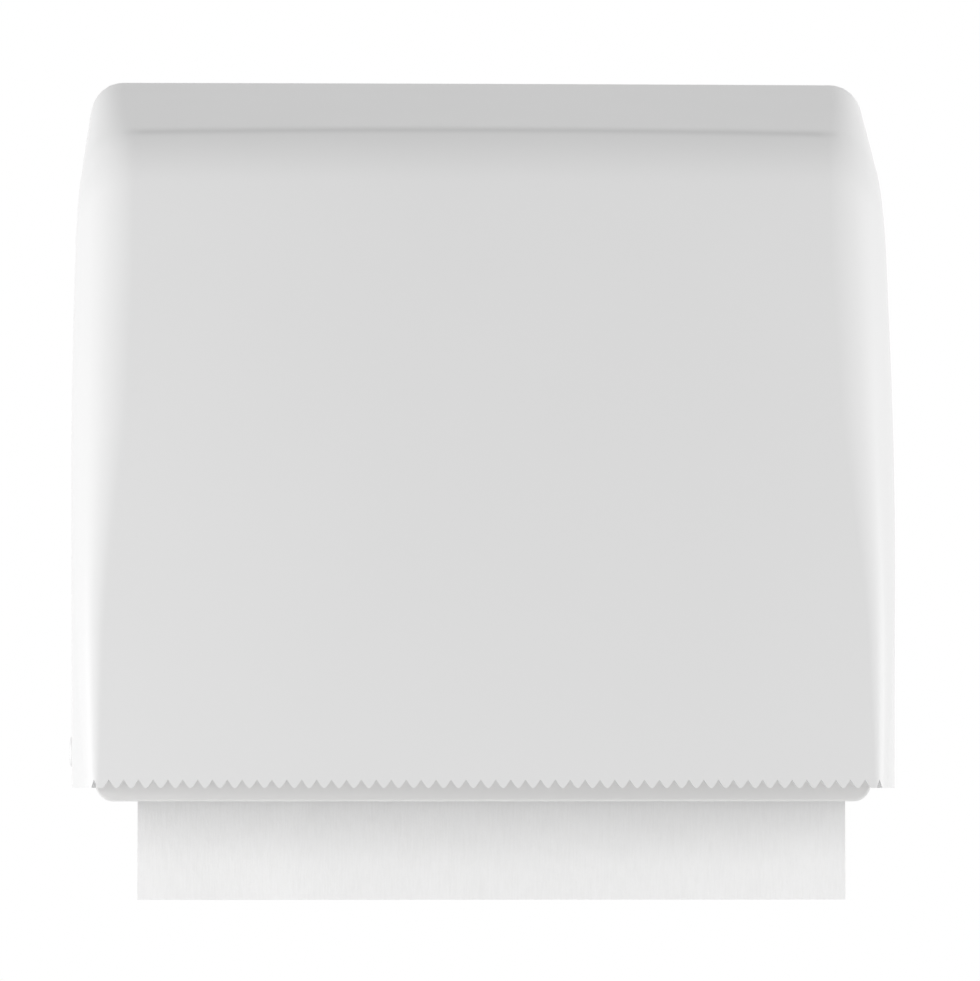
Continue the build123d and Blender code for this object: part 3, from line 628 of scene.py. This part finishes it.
notch_middles = TOOTH_PITCH * (np.arange(NOTCHES // 2) + 0.5)
offsets = NOTCH_HALF * np.array([-1, -0.75, -0.5, 0, 0.5, 0.75, 1])
column_x = np.concatenate([[0], (notch_middles[:, None] + offsets).ravel()])
near_groove = GROOVE_AT + np.linspace(-GROOVE_ROWS, GROOVE_ROWS, 11)
rows = np.unique(np.concatenate([
    [0.0, TOOTH_ROW], np.linspace(NEXT_ROW, FRONT_END, 15),
    np.linspace(FRONT_END, SHOULDER_END, 19), near_groove,
    np.linspace(SHOULDER_END, 1, 11)]).round(5))


def columns_at(inset):
    """The u, q and v of each column, so that the teeth stand on the same x for any inset.

    The skin's x is sampled along s, where s up to 1 is u and s less 1 is q, and read backwards.
    """
    s = np.linspace(0, 2, SAMPLES)
    u, q = np.clip(s, 0, 1), np.clip(s - 1, 0, 1)
    x = cover_skin(np.zeros(1), u, q, np.zeros(SAMPLES), inset)[0][0]
    at = np.interp(column_x, x, s)
    at = np.concatenate([at, np.linspace(at[-1], 2, CORNER_COLUMNS + 1)[1:]])
    v = np.linspace(0, 1, SIDE_COLUMNS + 1)[1:] ** SIDE_SPREAD
    at = np.concatenate([at, np.full(len(v), 2.0)])
    v = np.concatenate([np.zeros(len(at) - len(v)), v])
    return np.clip(at, 0, 1), np.clip(at - 1, 0, 1), v


print(len(rows), "rows,", len(columns_at(0.0)[2]), "columns on each half")


# %% The groove across the shoulder
GROOVE_HALF, GROOVE_DEPTH = 1.6, 0.10
GROOVE_END, GROOVE_FADE = 128.0, 6.0


def sink_groove(grid, t):
    """Move the skin in by depth * exp(-(distance / half width)^2), less near the corners."""
    across = np.gradient(grid, axis=0)
    along = np.gradient(grid, axis=1)
    normal = np.cross(along, across)
    normal /= np.maximum(np.linalg.norm(normal, axis=2, keepdims=True), 1e-9)
    step = np.linalg.norm(np.diff(grid[:, :1], axis=0), axis=2)
    run = np.concatenate([[0], np.cumsum(step[:, 0])])
    distance = run - np.interp(GROOVE_AT, t, run)
    strength = np.exp(-(distance / GROOVE_HALF) ** 2)
    fade = np.clip((GROOVE_END - np.abs(grid[..., 0])) / GROOVE_FADE, 0, 1)
    fade = fade * fade * (3 - 2 * fade)
    return grid + normal * (GROOVE_DEPTH * strength[:, None] * fade)[..., None]


print("groove at z =", round(groove_z, 1))

# %% The cover's two walls and rims
PIVOT = (-87.0, 13.0)
BOSS_OUTLINE = [(140.3, 3.05), (140.3, 6.4), (140.9, 7.0), (144.8, 7.0), (144.8, 3.05)]
KEEPER_HALF, KEEPER_FAR, KEEPER_NEAR = 12.0, -22.7, -20.7
KEEPER_LOW, KEEPER_HIGH = 250.3, 261.0


def cover_grid(inset):
    """Both halves of the skin, with its lowest row cut into teeth."""
    half = np.stack(cover_skin(rows, *columns_at(inset), inset), -1)
    share = (tooth_rise(half[0, :, 0]) / np.maximum(half[1, :, 2], 1e-6))[:, None]
    on_front = (half[0, :, 1] < -TEETH_BEYOND)[:, None]
    half[0] += (half[1] - half[0]) * share * on_front
    if inset == 0:
        half = sink_groove(half, rows)
    mirror = half[:, :0:-1] * (-1, 1, 1)
    return np.concatenate([mirror, half], 1)


outer, inner = cover_grid(0.0), cover_grid(WALL)
lower_rim, back_rim = np.stack([outer[0], inner[0]]), np.stack([inner[-1], outer[-1]])
boss = np.array(BOSS_OUTLINE + BOSS_OUTLINE[:1])
bosses = [ring_of(boss * (side, 1), 40, PIVOT) for side in (-1, 1)]
keeper = slab(box_outline(-KEEPER_HALF, KEEPER_HALF, KEEPER_FAR, KEEPER_NEAR, 0.4),
              KEEPER_LOW, KEEPER_HIGH, 0.2, "xyz")
front_cover = build("front_cover_shell", [
    patch(outer), patch(inner), patch(lower_rim), patch(back_rim), *bosses, keeper], sharp=40)
place(front_cover, "cover", ["front_cover"], cover_finish)
print("cover spans", outer.min((0, 1)).round(1), outer.max((0, 1)).round(1))

# %% [markdown]
# ## The towel
# Paper towel is limp and a fraction of a millimetre thick. It leaves the front of the roll, bends
# over the drive roller and hangs down behind the lever. A cloth simulation could hang it, but the
# rollers hold it flat here, so a sheet along its path, with a slow ripple that grows below the
# rollers, is truer and comes out the same each time.

# %% The towel's path and sheet
WEB_SHIFT, WEB_WIDTH = 3.7, 254.0
ROLL, NIP = (-66.0, 140.0), (-107.55, 38.0)
ROLL_RADIUS, GRIP_RADIUS, OFF = 56.0, 15.0, 0.55
WEB_BOTTOM, WEB_COLUMNS, HALF_SHEET = -40.0, 161, 0.09
LINE_STEPS, ARC_STEPS, DROP_STEPS = 26, 12, 60
RIPPLE_TOP, RIPPLE_GROWS = 26.0, 60.0


def towel_path():
    """(y, z) along the towel: a line between the roll and the roller, an arc and a drop.

    The line touches the two from opposite sides. Its direction from the roller is the bearing of
    the roll less arccos of both radii over the distance between the middles.
    """
    roll, nip = np.array(ROLL), np.array(NIP)
    reach = roll - nip
    span = np.hypot(*reach)
    bearing = math.atan2(reach[1], reach[0])
    wrap = bearing - math.acos((ROLL_RADIUS + GRIP_RADIUS + 2 * OFF) / span)
    aim = np.array([math.cos(wrap), math.sin(wrap)])
    leave, meet = roll - aim * (ROLL_RADIUS + OFF), nip + aim * (GRIP_RADIUS + OFF)
    share = np.linspace(0, 1, LINE_STEPS)[:, None]
    turn = np.linspace(wrap, 0, ARC_STEPS)[1:]
    arc = nip + (GRIP_RADIUS + OFF) * np.stack([np.cos(turn), np.sin(turn)], 1)
    down = np.linspace(arc[-1, 1], WEB_BOTTOM, DROP_STEPS)[1:]
    drop = np.stack([np.full(len(down), arc[-1, 0]), down], 1)
    return np.concatenate([leave + (meet - leave) * share, arc, drop])


def towel_sheet(path):
    """The path across the towel's width, with two slow waves that grow below the rollers.

    They are 0.30 * sin(x / 19 + 0.6) and 0.18 * sin(x / 8.3 + z / 31), in millimetres along y.
    """
    x = WEB_SHIFT + np.linspace(-WEB_WIDTH / 2, WEB_WIDTH / 2, WEB_COLUMNS)
    y, z = path[:, :1], path[:, 1:]
    wave = 0.30 * np.sin(x / 19 + 0.6) + 0.18 * np.sin(x / 8.3 + z / 31)
    grown = np.clip((RIPPLE_TOP - z) / RIPPLE_GROWS, 0, 1)
    return np.stack(np.broadcast_arrays(x[None], y + grown * wave, z), -1)


path = towel_path()
sheet = towel_sheet(path)
front, back = sheet - (0, HALF_SHEET, 0), sheet + (0, HALF_SHEET, 0)
rims = [np.stack([front[at], back[at]]) for at in (0, -1, np.s_[:, 0], np.s_[:, -1])]
towel = build("hanging_towel", [patch(grid) for grid in (front, back, *rims)], sharp=60)
place(towel, "housing", ["paper_web"], towel_finish)

# %% [markdown]
# ## The push lever
# The lever is a wide bar low behind the teeth, carried by an arm at each end. The palm pushes the
# bar back, so its rims are rounded. Each flat part is a plate with rounded rims, drawn as an
# outline and thickened.

# %% Push bar and arms
BAR_FRONT, BAR_BACK, BAR_EDGE = -130.0, -127.5, 0.9
BAR_HALF, LIP, STEP, BAR_TOP = 136.0, -4.7, 4.0, 18.0
LEVER_AXIS = (-96.527, 85.744)
EYE_RADIUS = 8.0
ARM_INNER, ARM_OUTER, ARM_BACK, ARM_EDGE = 137.4, 139.9, -121.0, 0.5
bar_outline = rounded_path(
    [(-BAR_HALF, LIP), (BAR_HALF, LIP), (BAR_HALF, STEP), (ARM_OUTER, STEP), (ARM_OUTER, BAR_TOP),
     (-ARM_OUTER, BAR_TOP), (-ARM_OUTER, STEP), (-BAR_HALF, STEP)],
    [6.2, 6.2, 0.6, 1.0, 1.0, 1.0, 1.0, 0.6], 10)
bar = slab(bar_outline, BAR_FRONT, BAR_BACK, BAR_EDGE, "xzy")


def lever_arm(side):
    """A plate whose straight sides run from the bar to an arc of its eye round the lever shaft."""
    eye = np.linspace(0.05, math.pi + 0.45, 18)
    top = LEVER_AXIS + EYE_RADIUS * np.stack([np.cos(eye), np.sin(eye)], 1)
    foot = [(BAR_FRONT, BAR_TOP), (BAR_FRONT, STEP + 0.6), (BAR_FRONT + 0.6, STEP),
            (ARM_BACK - 0.6, STEP), (ARM_BACK, STEP + 0.6), (ARM_BACK, BAR_TOP)]
    low, high = sorted((side * ARM_INNER, side * ARM_OUTER))
    return slab(np.concatenate([top, foot]), low, high, ARM_EDGE, "yzx")


push_lever = build("push_bar_and_arms", [bar, lever_arm(-1), lever_arm(1)], sharp=50)
place(push_lever, "lever", ["push_lever"], lever_finish)

# %% [markdown]
# ## The roll
# The towel is wound on a cardboard tube. Its ends show the wound layers as fine rings, and its
# outside carries the crepe. Turning an outline gives both, and the layers come from a pattern
# that reads the distance from the roll's axis.

# %% Wound paper and its core
RIM, BORE, BOARD_RADIUS, BOARD_BORE, BOARD_EDGE = 0.35, 21.15, 21.0, 19.0, 0.2
left_end, right_end = WEB_SHIFT - WEB_WIDTH / 2, WEB_SHIFT + WEB_WIDTH / 2


def wound_paper(name, base, middle, half):
    """The crepe of the towel, with uneven rings about 1.4 mm apart on both ends.

    The rings are noise over one number, the distance from the axis. They come in over the rim, as
    (distance along x from the middle - half the length + rim) / rim, held between 0 and 1. The
    colour follows the same height as the bump, so the hollows between rings and in the crepe are
    darker: painted shade.
    """
    made = Finish(name, roughness=0.92, ior=1.3, sheen_weight=0.15, sheen_roughness=0.6)
    x, y, z = (axis - along for axis, along in zip(made.axes(), middle))
    radius = (y * y + z * z) ** 0.5
    ring = made.node("ShaderNodeTexNoise", {"noise_dimensions": "1D"}, {
        "W": radius, "Scale": 1 / 0.0014, "Detail": 4.0, "Roughness": 0.6})
    rim = RIM / 1000
    end = ((x.math("ABSOLUTE", x) - (half - rim)) / rim).held()
    crepe = made.noise(0.0007, 3.0, (1, 0.2, 0.2), 0.65)
    height = ring * end + crepe * (1 - end)
    # Painted shade: the colour is darker where the bump's height is low, in the hollows.
    made.feed(base_color=made.mix(height, tone(base * 0.80, 0.006), tone(base * 1.06, 0.002)))
    made.feed(normal=made.bump(height, 0.0001))
    return made.material


def from_both_ends(end, skin=()):
    """A closed (along x, radius) outline: the end's points, the skin, the end's points mirrored."""
    left = np.array(end) + (left_end, 0)
    right = np.array(end[::-1]) * (-1, 1) + (right_end, 0)
    return np.concatenate([left, *skin, right, left[:1]])


roll_finish = wound_paper("wound_towel", 0.90, to_frame((WEB_SHIFT, *ROLL)), WEB_WIDTH / 2000)
tell(roll_finish)
between = np.linspace(left_end + 1.2, right_end - 1.2, 40)
roll_skin = np.stack([between, ROLL_RADIUS - 0.25 + 0.2 * np.sin(between / 23)], 1)
roll_outline = from_both_ends([(0.3, BORE), (0, 23), (0, 38), (0, 54.8), (RIM, 55.5)], [roll_skin])
roll = build("wound_paper_roll", [ring_of(roll_outline, 128, ROLL)], sharp=50)
place(roll, "towel_roll", ["paper_roll"], roll_finish)

core_outline = from_both_ends(
    [(0, BOARD_BORE), (0, BOARD_RADIUS - BOARD_EDGE), (BOARD_EDGE, BOARD_RADIUS)])
core = build("cardboard_core", [ring_of(core_outline, 72, ROLL)])
place(core, "towel_roll", ["roll_core"], core_finish)

# %% [markdown]
# ## Rollers
# The drive roller grips the towel with rubber sleeves whose fine flutes run along the shaft, and
# the pressure roller has softer tyres with rounded shoulders. Flutes are modelled, not painted,
# because they show in the outline of the roller.

# %% Fluted sleeves
EDGE_GAP = 4.0
SLEEVES, SLEEVE_LENGTH, SLEEVE_BORE, FLUTES, FLUTE_DEPTH = 5, 34.0, 12.0, 48, 0.45


def starts(count, length):
    """Where equal rings begin, spread evenly with a gap left at the towel's edges."""
    return np.linspace(left_end + EDGE_GAP, right_end - EDGE_GAP - length, count)


def fluted_sleeve(start):
    """A ring with rounded ends, whose radius dips by depth * (1 - |sin|)^1.5 between flutes."""
    turns = FLUTES * 6
    angle = np.arange(turns) * 2 * math.pi / turns
    dip = FLUTE_DEPTH * (1 - np.abs(np.sin(angle * FLUTES / 2))) ** 1.5
    first = np.array([(0, SLEEVE_BORE, 0), (0, GRIP_RADIUS - 0.9, 0),
                      (0.25, GRIP_RADIUS - 0.3, 0.6), (0.8, GRIP_RADIUS, 1)])
    last = first[::-1] * (-1, 1, 1) + (SLEEVE_LENGTH, 0, 0)
    x, radius, fluted = np.concatenate([first, last, first[:1]]).T[:, :, None]
    r = radius - fluted * dip
    grid = np.stack(np.broadcast_arrays(start + x, NIP[0] + r * np.cos(angle),
                                        NIP[1] + r * np.sin(angle)), -1)
    return patch(grid, loop=True)


sleeves = build("fluted_grip_sleeves", [
    fluted_sleeve(start) for start in starts(SLEEVES, SLEEVE_LENGTH)], sharp=30)
place(sleeves, "drive_roller", ["grip_sleeves"], grip_finish)

# %% Tyres
PRESS = (-83.45, 38.0)
TYRES, TYRE_LENGTH, TYRE_BORE, TYRE_RADIUS = 3, 40.0, 6.5, 8.0


def tyre(start):
    """A ring with rounded shoulders."""
    first = np.array([(0, TYRE_BORE), (0, TYRE_RADIUS - 0.8), (0.25, TYRE_RADIUS - 0.25),
                      (0.8, TYRE_RADIUS)])
    last = first[::-1] * (-1, 1) + (TYRE_LENGTH, 0)
    return ring_of(np.concatenate([first, last, first[:1]]) + (start, 0), 48, PRESS)


tyres = build("pressure_roller_tyres", [tyre(start) for start in starts(TYRES, TYRE_LENGTH)])
place(tyres, "pressure_roller", ["pressure_tyres"], grip_finish)

# %% [markdown]
# ## Springs
# The lever's return spring is a wound wire with a leg, and the pressure roller's are small
# compression springs. A wire is one circle carried along a path, and a coil's path is a circle
# that moves along its axis as it turns. The small springs stay fixed where they stand.

# %% Wound wire
def coil(turns, radius, low, high, start=0.0, per_turn=28):
    """(along, across, up) of a helix: angle runs evenly, and along moves from low to high."""
    angle = start + np.linspace(0, turns * 2 * math.pi, int(turns * per_turn))
    return np.stack([np.linspace(low, high, len(angle)), radius * np.cos(angle),
                     radius * np.sin(angle)], 1)


GEAR_INNER, COIL_RADIUS, WIRE_RADIUS = -128.7, 5.0, 0.38
POST_DISTANCE = 22.0
wire = coil(4.25, COIL_RADIUS, GEAR_INNER + 0.8, GEAR_INNER + 3.8, start=math.pi / 2)
wire = wire + (0, *LEVER_AXIS)
hook = np.array([(-POST_DISTANCE - 3.4, 2.0), (-POST_DISTANCE - 2.4, 2.1),
                 (-POST_DISTANCE + 8, 3.1), (-6, 4.4)]) + LEVER_AXIS
share = np.linspace(0, 3, 24)
leg = [np.full(24, wire[-1, 0])] + [np.interp(share, np.arange(4), row) for row in hook.T]
spring = build("lever_return_spring", [
    tube_along(points, WIRE_RADIUS) for points in (wire, np.stack(leg, 1))], sharp=60)
place(spring, "housing", ["lever_spring"], spring_finish)

# %% Springs behind the pressure roller
SPRING_X, SPRING_FRONT, SPRING_LENGTH = 135.5, PRESS[0] + 5.0, 8.0


def pressed_spring(side):
    """A compression spring along y behind a bearing block, with closed end turns.

    Its lead rises slowly over the first and the last 0.14 of the wire and evenly between them.
    """
    turns = coil(7.5, 1.0, 0.0, 0.0, per_turn=20)
    lead = np.interp(np.linspace(0, 1, len(turns)), [0, 0.14, 0.86, 1],
                     [0.32, 0.8, SPRING_LENGTH - 0.8, SPRING_LENGTH - 0.32])
    path = [side * SPRING_X + turns[:, 1], SPRING_FRONT + lead, PRESS[1] + turns[:, 2]]
    return tube_along(np.stack(path, 1), 0.28, 8)


pair = build("pressure_coil_springs", [pressed_spring(-1), pressed_spring(1)], sharp=60)
place(pair, "pressure_carriage", ["pressure_springs"], spring_finish,
      ("housing", (0, SPRING_FRONT + 0.6, PRESS[1]),
       (0, SPRING_FRONT + SPRING_LENGTH - 0.6, PRESS[1])))


# %% Leaf springs behind the roll arms
ARM_GAP, STRIP, STRIP_HALF = 0.6, 0.6, 4.5
STRIP_BACK, STRIP_FRONT = -3.0, -30.0


def leaf_spring(side):
    """A thin strip that runs out from the wall plate and bends in to press on its arm."""
    arm = WEB_SHIFT + side * (WEB_WIDTH / 2 + ARM_GAP)
    face, foot = arm + side * 8.3, arm + side * 2.9
    outer, bend = face + side * STRIP, STRIP_FRONT + STRIP
    outline = rounded_path(
        [(face, STRIP_BACK), (outer, STRIP_BACK), (outer, STRIP_FRONT), (foot, STRIP_FRONT),
         (foot, bend), (face, bend)], [0.1, 0.1, 1.5, 0.25, 0.25, 0.9], 8)
    return slab(outline, ROLL[1] - STRIP_HALF, ROLL[1] + STRIP_HALF, 0.08, "xyz", 3), face


for side, word in ((-1, "left"), (1, "right")):
    strip, face = leaf_spring(side)
    leaf = build(f"{word}_leaf_spring", [strip], sharp=40)
    place(leaf, "housing", ["roll_arm_springs"], spring_finish,
          (f"{word}_arm", (face, STRIP_BACK - 4, ROLL[1]), (face, STRIP_FRONT + 2, ROLL[1])))

# %% [markdown]
# ## Hubs, clips, caps and stops
# Small parts say how a thing was made: hubs have ribs so that they mould evenly, clips are stamped
# with a gap, and caps have rounded rims. They are few, so each gets its own outline.

# %% Ribbed hubs that hold the core
HUB_BASE, HUB_TIP, HUB_BORE, HUB_DEPTH = 18.85, 17.6, 14.7, 6.6
SOCKET_BORE, SOCKET_RADIUS, SOCKET_DEPTH = 3.0, 5.0, 5.8
RIBS, RIB_HALF, RIB_DEPTH, RIB_EDGE = 6, 0.7, 5.2, 0.15


def ribbed_hub(side):
    """A cone with a hollow middle, a socket on its axis and ribs between the two."""
    start = WEB_SHIFT + side * (WEB_WIDTH / 2 + ARM_GAP)
    cone = np.array([(0, HUB_BORE), (0, HUB_BASE), (0.7, HUB_BASE),
                     (HUB_DEPTH - 1.4, HUB_TIP + 0.35), (HUB_DEPTH - 0.6, HUB_TIP),
                     (HUB_DEPTH, HUB_TIP - 0.7), (HUB_DEPTH, HUB_BORE + 0.5),
                     (HUB_DEPTH - 0.4, HUB_BORE), (0, HUB_BORE)])
    socket = np.array([(0, SOCKET_BORE), (0, SOCKET_RADIUS), (SOCKET_DEPTH - 0.4, SOCKET_RADIUS),
                       (SOCKET_DEPTH, SOCKET_RADIUS - 0.4), (SOCKET_DEPTH, SOCKET_BORE),
                       (0, SOCKET_BORE)])
    parts = [ring_of(outline * (-side, 1) + (start, 0), turns, ROLL)
             for outline, turns in ((cone, 72), (socket, 40))]
    low, high = sorted((start, start - side * RIB_DEPTH))
    near, far = SOCKET_RADIUS - 0.2, HUB_BORE + 0.2
    rib = np.array([(near, -RIB_HALF), (far, -RIB_HALF), (far, RIB_HALF), (near, RIB_HALF)])
    for turn in np.arange(RIBS) * 2 * math.pi / RIBS:
        cos, sin = math.cos(turn), math.sin(turn)
        turned = rib @ ((cos, sin), (-sin, cos)) + ROLL
        parts.append(slab(rounded_path(turned, RIB_EDGE, 2), low, high, RIB_EDGE, "yzx", 2))
    return parts


for side, word in ((-1, "left"), (1, "right")):
    hub = build(f"{word}_ribbed_hub", ribbed_hub(side))
    place(hub, f"{word}_arm", [f"{word}_roll_hub"], hub_finish)


# %% Retaining clips with a gap
CLIP_INNER, CLIP_OUTER, CLIP_GAP, CLIP_THICKNESS = 4.05, 5.5, 0.45, 0.8


def shaft_clip(side):
    """A stamped ring with an opening: the outer arc one way, the inner arc back."""
    turn = np.linspace(CLIP_GAP, 2 * math.pi - CLIP_GAP, 40)
    circle = np.stack([np.cos(turn), np.sin(turn)], 1)
    outline = np.concatenate([CLIP_OUTER * circle, CLIP_INNER * circle[::-1]]) + LEVER_AXIS
    low, high = sorted((side * ARM_OUTER, side * (ARM_OUTER + CLIP_THICKNESS)))
    return slab(outline, low, high, 0.12, "yzx", 2)


clips = build("lever_shaft_clips", [shaft_clip(-1), shaft_clip(1)])
place(clips, "lever", ["lever_circlips"], spring_finish)


# %% Pivot pins with rounded caps
PIN_START, PIN_RADIUS, CAP_INNER, CAP_OUTER, CAP_RADIUS = 134.0, 3.0, 146.2, 147.9, 5.65


def pivot_pin(side):
    """A pin through the cover's boss, with a rounded cap outside."""
    outline = np.array([
        (PIN_START, 0), (PIN_START, PIN_RADIUS - 0.3), (PIN_START + 0.3, PIN_RADIUS),
        (CAP_INNER, PIN_RADIUS), (CAP_INNER, CAP_RADIUS - 0.25), (CAP_INNER + 0.2, CAP_RADIUS),
        (CAP_OUTER - 0.7, CAP_RADIUS - 0.05), (CAP_OUTER - 0.2, CAP_RADIUS - 0.45),
        (CAP_OUTER, CAP_RADIUS - 1.25), (CAP_OUTER, PIN_RADIUS), (CAP_OUTER - 0.1, 0)])
    return ring_of(outline * (side, 1), 48, PIVOT)


pins = build("cover_pivot_pins", [pivot_pin(-1), pivot_pin(1)])
place(pins, "housing", ["cover_pivots"], cover_finish)


# %% Rubber stops for the lever
STOP_INNER, STOP_OUTER, STOP_RADIUS = 137.0, 140.0, 2.9
stop_y, stop_z = np.mean(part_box("lever_stops"), 0)[1:] * 1000
stop_outline = np.array([
    (STOP_INNER, 0), (STOP_INNER, STOP_RADIUS), (STOP_OUTER - 0.8, STOP_RADIUS),
    (STOP_OUTER - 0.3, STOP_RADIUS - 0.3), (STOP_OUTER, STOP_RADIUS - 0.9), (STOP_OUTER, 0)])
stops = build("lever_rubber_stops", [
    ring_of(stop_outline * (side, 1), 36, (stop_y, stop_z + MOUNT_HEIGHT)) for side in (-1, 1)])
place(stops, "housing", ["lever_stops"], grip_finish)

# %% [markdown]
# ## Finishes for the pieces that keep their engineered shape
# Frames, gears, bushes and shafts are already right, so each only needs its real finish. The
# record says which slot every node takes, and one table turns a slot into a finish.

# %% Dress the carried-over nodes
SLOT_FINISH = {
    "cover": cover_finish, "chassis": chassis_finish, "lever": lever_finish, "gear": gear_finish,
    "steel": steel_finish, "spring_steel": spring_finish, "screw": screw_finish,
    "bush": bush_finish, "grip": grip_finish, "drum": drum_finish, "hub": hub_finish,
    "towel": towel_finish, "core": core_finish,
}
for part in frame["record"]["subparts"]:
    node = frame["nodes"][part["node"]]
    node.data.materials.clear()
    node.data.materials.append(SLOT_FINISH[part["material_slot"]])

# %% [markdown]
# ## Camera, light and floor
# The camera stands 1.5 m in front of the lower front edge, level with it and a little to the left,
# with a long lens, and is turned a little up and to the right. Broad soft lamps on both sides make
# the sides brighter than the front, and one lamp in front, a little above, lets the lever's lip
# throw a soft shadow on the towel. A weak one from below lights the towel. All stay low enough
# that no white part turns to blank white.

# %% Camera
WIDE, TALL, FOCAL = 980, 981, 4470.0    # in pixels, the focal length too
STRAIGHT_AHEAD = (390.0, 788.0)         # the pixel that lines square to the wall run towards
SENSOR, EYE = 36.0, (-33.0, -1700.0, 0.0)
camera = bpy.data.objects.new("camera", bpy.data.cameras.new("camera"))
scene.collection.objects.link(camera)
camera.data.sensor_width = SENSOR
camera.data.lens = SENSOR * FOCAL / TALL
camera.location = to_frame(EYE)
aim = Vector((WIDE / 2 - STRAIGHT_AHEAD[0], FOCAL, STRAIGHT_AHEAD[1] - TALL / 2))
camera.rotation_euler = aim.to_track_quat("-Z", "Y").to_euler()
camera.data.clip_start, camera.data.clip_end = 0.05, 50
scene.camera = camera
print("lens", round(camera.data.lens, 1), "mm")


# %% Lamps
def soft_lamp(name, place_at, aim_at, width, height, watts):
    """A rectangular soft box at one point, in metres, turned towards another."""
    lamp = bpy.data.lights.new(name, "AREA")
    lamp.shape, lamp.size, lamp.size_y, lamp.energy = "RECTANGLE", width, height, watts
    obj = bpy.data.objects.new(name, lamp)
    obj.location = place_at
    obj.rotation_euler = (Vector(aim_at) - Vector(place_at)).to_track_quat("-Z", "Y").to_euler()
    scene.collection.objects.link(obj)


LAMPS = {
    "left_side": ((-1.7, -0.25, -0.1), (0, -0.1, 0.0), 0.9, 1.6, 16.5),
    "right_side": ((1.7, -0.25, 0.0), (0, -0.1, 0.0), 0.9, 1.6, 17.0),
    "front": ((-0.25, -2.4, 0.16), (0, -0.1, 0.0), 1.4, 0.6, 13.5),
    "low": ((-0.65, -1.6, -0.85), (0, -0.1, -0.1), 1.0, 0.7, 6.0),
}
for name, facts in LAMPS.items():
    soft_lamp(name, *facts)
print("lamps:", len(LAMPS))

# %% World
ROOM_LIGHT, SEEN_LIGHT = 0.42, 1.0      # on the object, and where the background itself is seen
world = bpy.data.worlds.new("studio")
world.use_nodes = True
scene.world = world
tree = world.node_tree
tree.nodes.clear()
ray = tree.nodes.new("ShaderNodeLightPath")
seen = ray.outputs["Is Camera Ray"]
for kind in ("Is Glossy Ray", "Is Transmission Ray"):
    either = tree.nodes.new("ShaderNodeMath")
    either.operation = "MAXIMUM"
    tree.links.new(seen, either.inputs[0])
    tree.links.new(ray.outputs[kind], either.inputs[1])
    seen = either.outputs[0]
background = tree.nodes.new("ShaderNodeBackground")
background.inputs["Color"].default_value = (1, 1, 1, 1)
strength = tree.nodes.new("ShaderNodeMapRange")
tree.links.new(seen, strength.inputs["Value"])
strength.inputs["To Min"].default_value = ROOM_LIGHT
strength.inputs["To Max"].default_value = SEEN_LIGHT
tree.links.new(strength.outputs["Result"], background.inputs["Strength"])
output = tree.nodes.new("ShaderNodeOutputWorld")
tree.links.new(background.outputs["Background"], output.inputs["Surface"])
scene.view_settings.view_transform = "Standard"
print("world nodes:", len(tree.nodes))

# %% Floor
FLOOR_HALF, FLOOR_HEIGHT = 4000.0, -1500.0
floor_side = np.linspace(-FLOOR_HALF, FLOOR_HALF, 3)
floor_grid = np.stack(np.meshgrid(floor_side, floor_side, [FLOOR_HEIGHT]), -1)[:, :, 0]
floor = build("floor", [patch(floor_grid)], closed=False)
floor_paint = Finish("pale_floor", roughness=0.9)
floor_paint.feed(base_color=floor_paint.mix(floor_paint.noise(0.4), tone(0.84), tone(0.88)))
floor.data.materials.append(floor_paint.material)
tell(floor_paint.material)
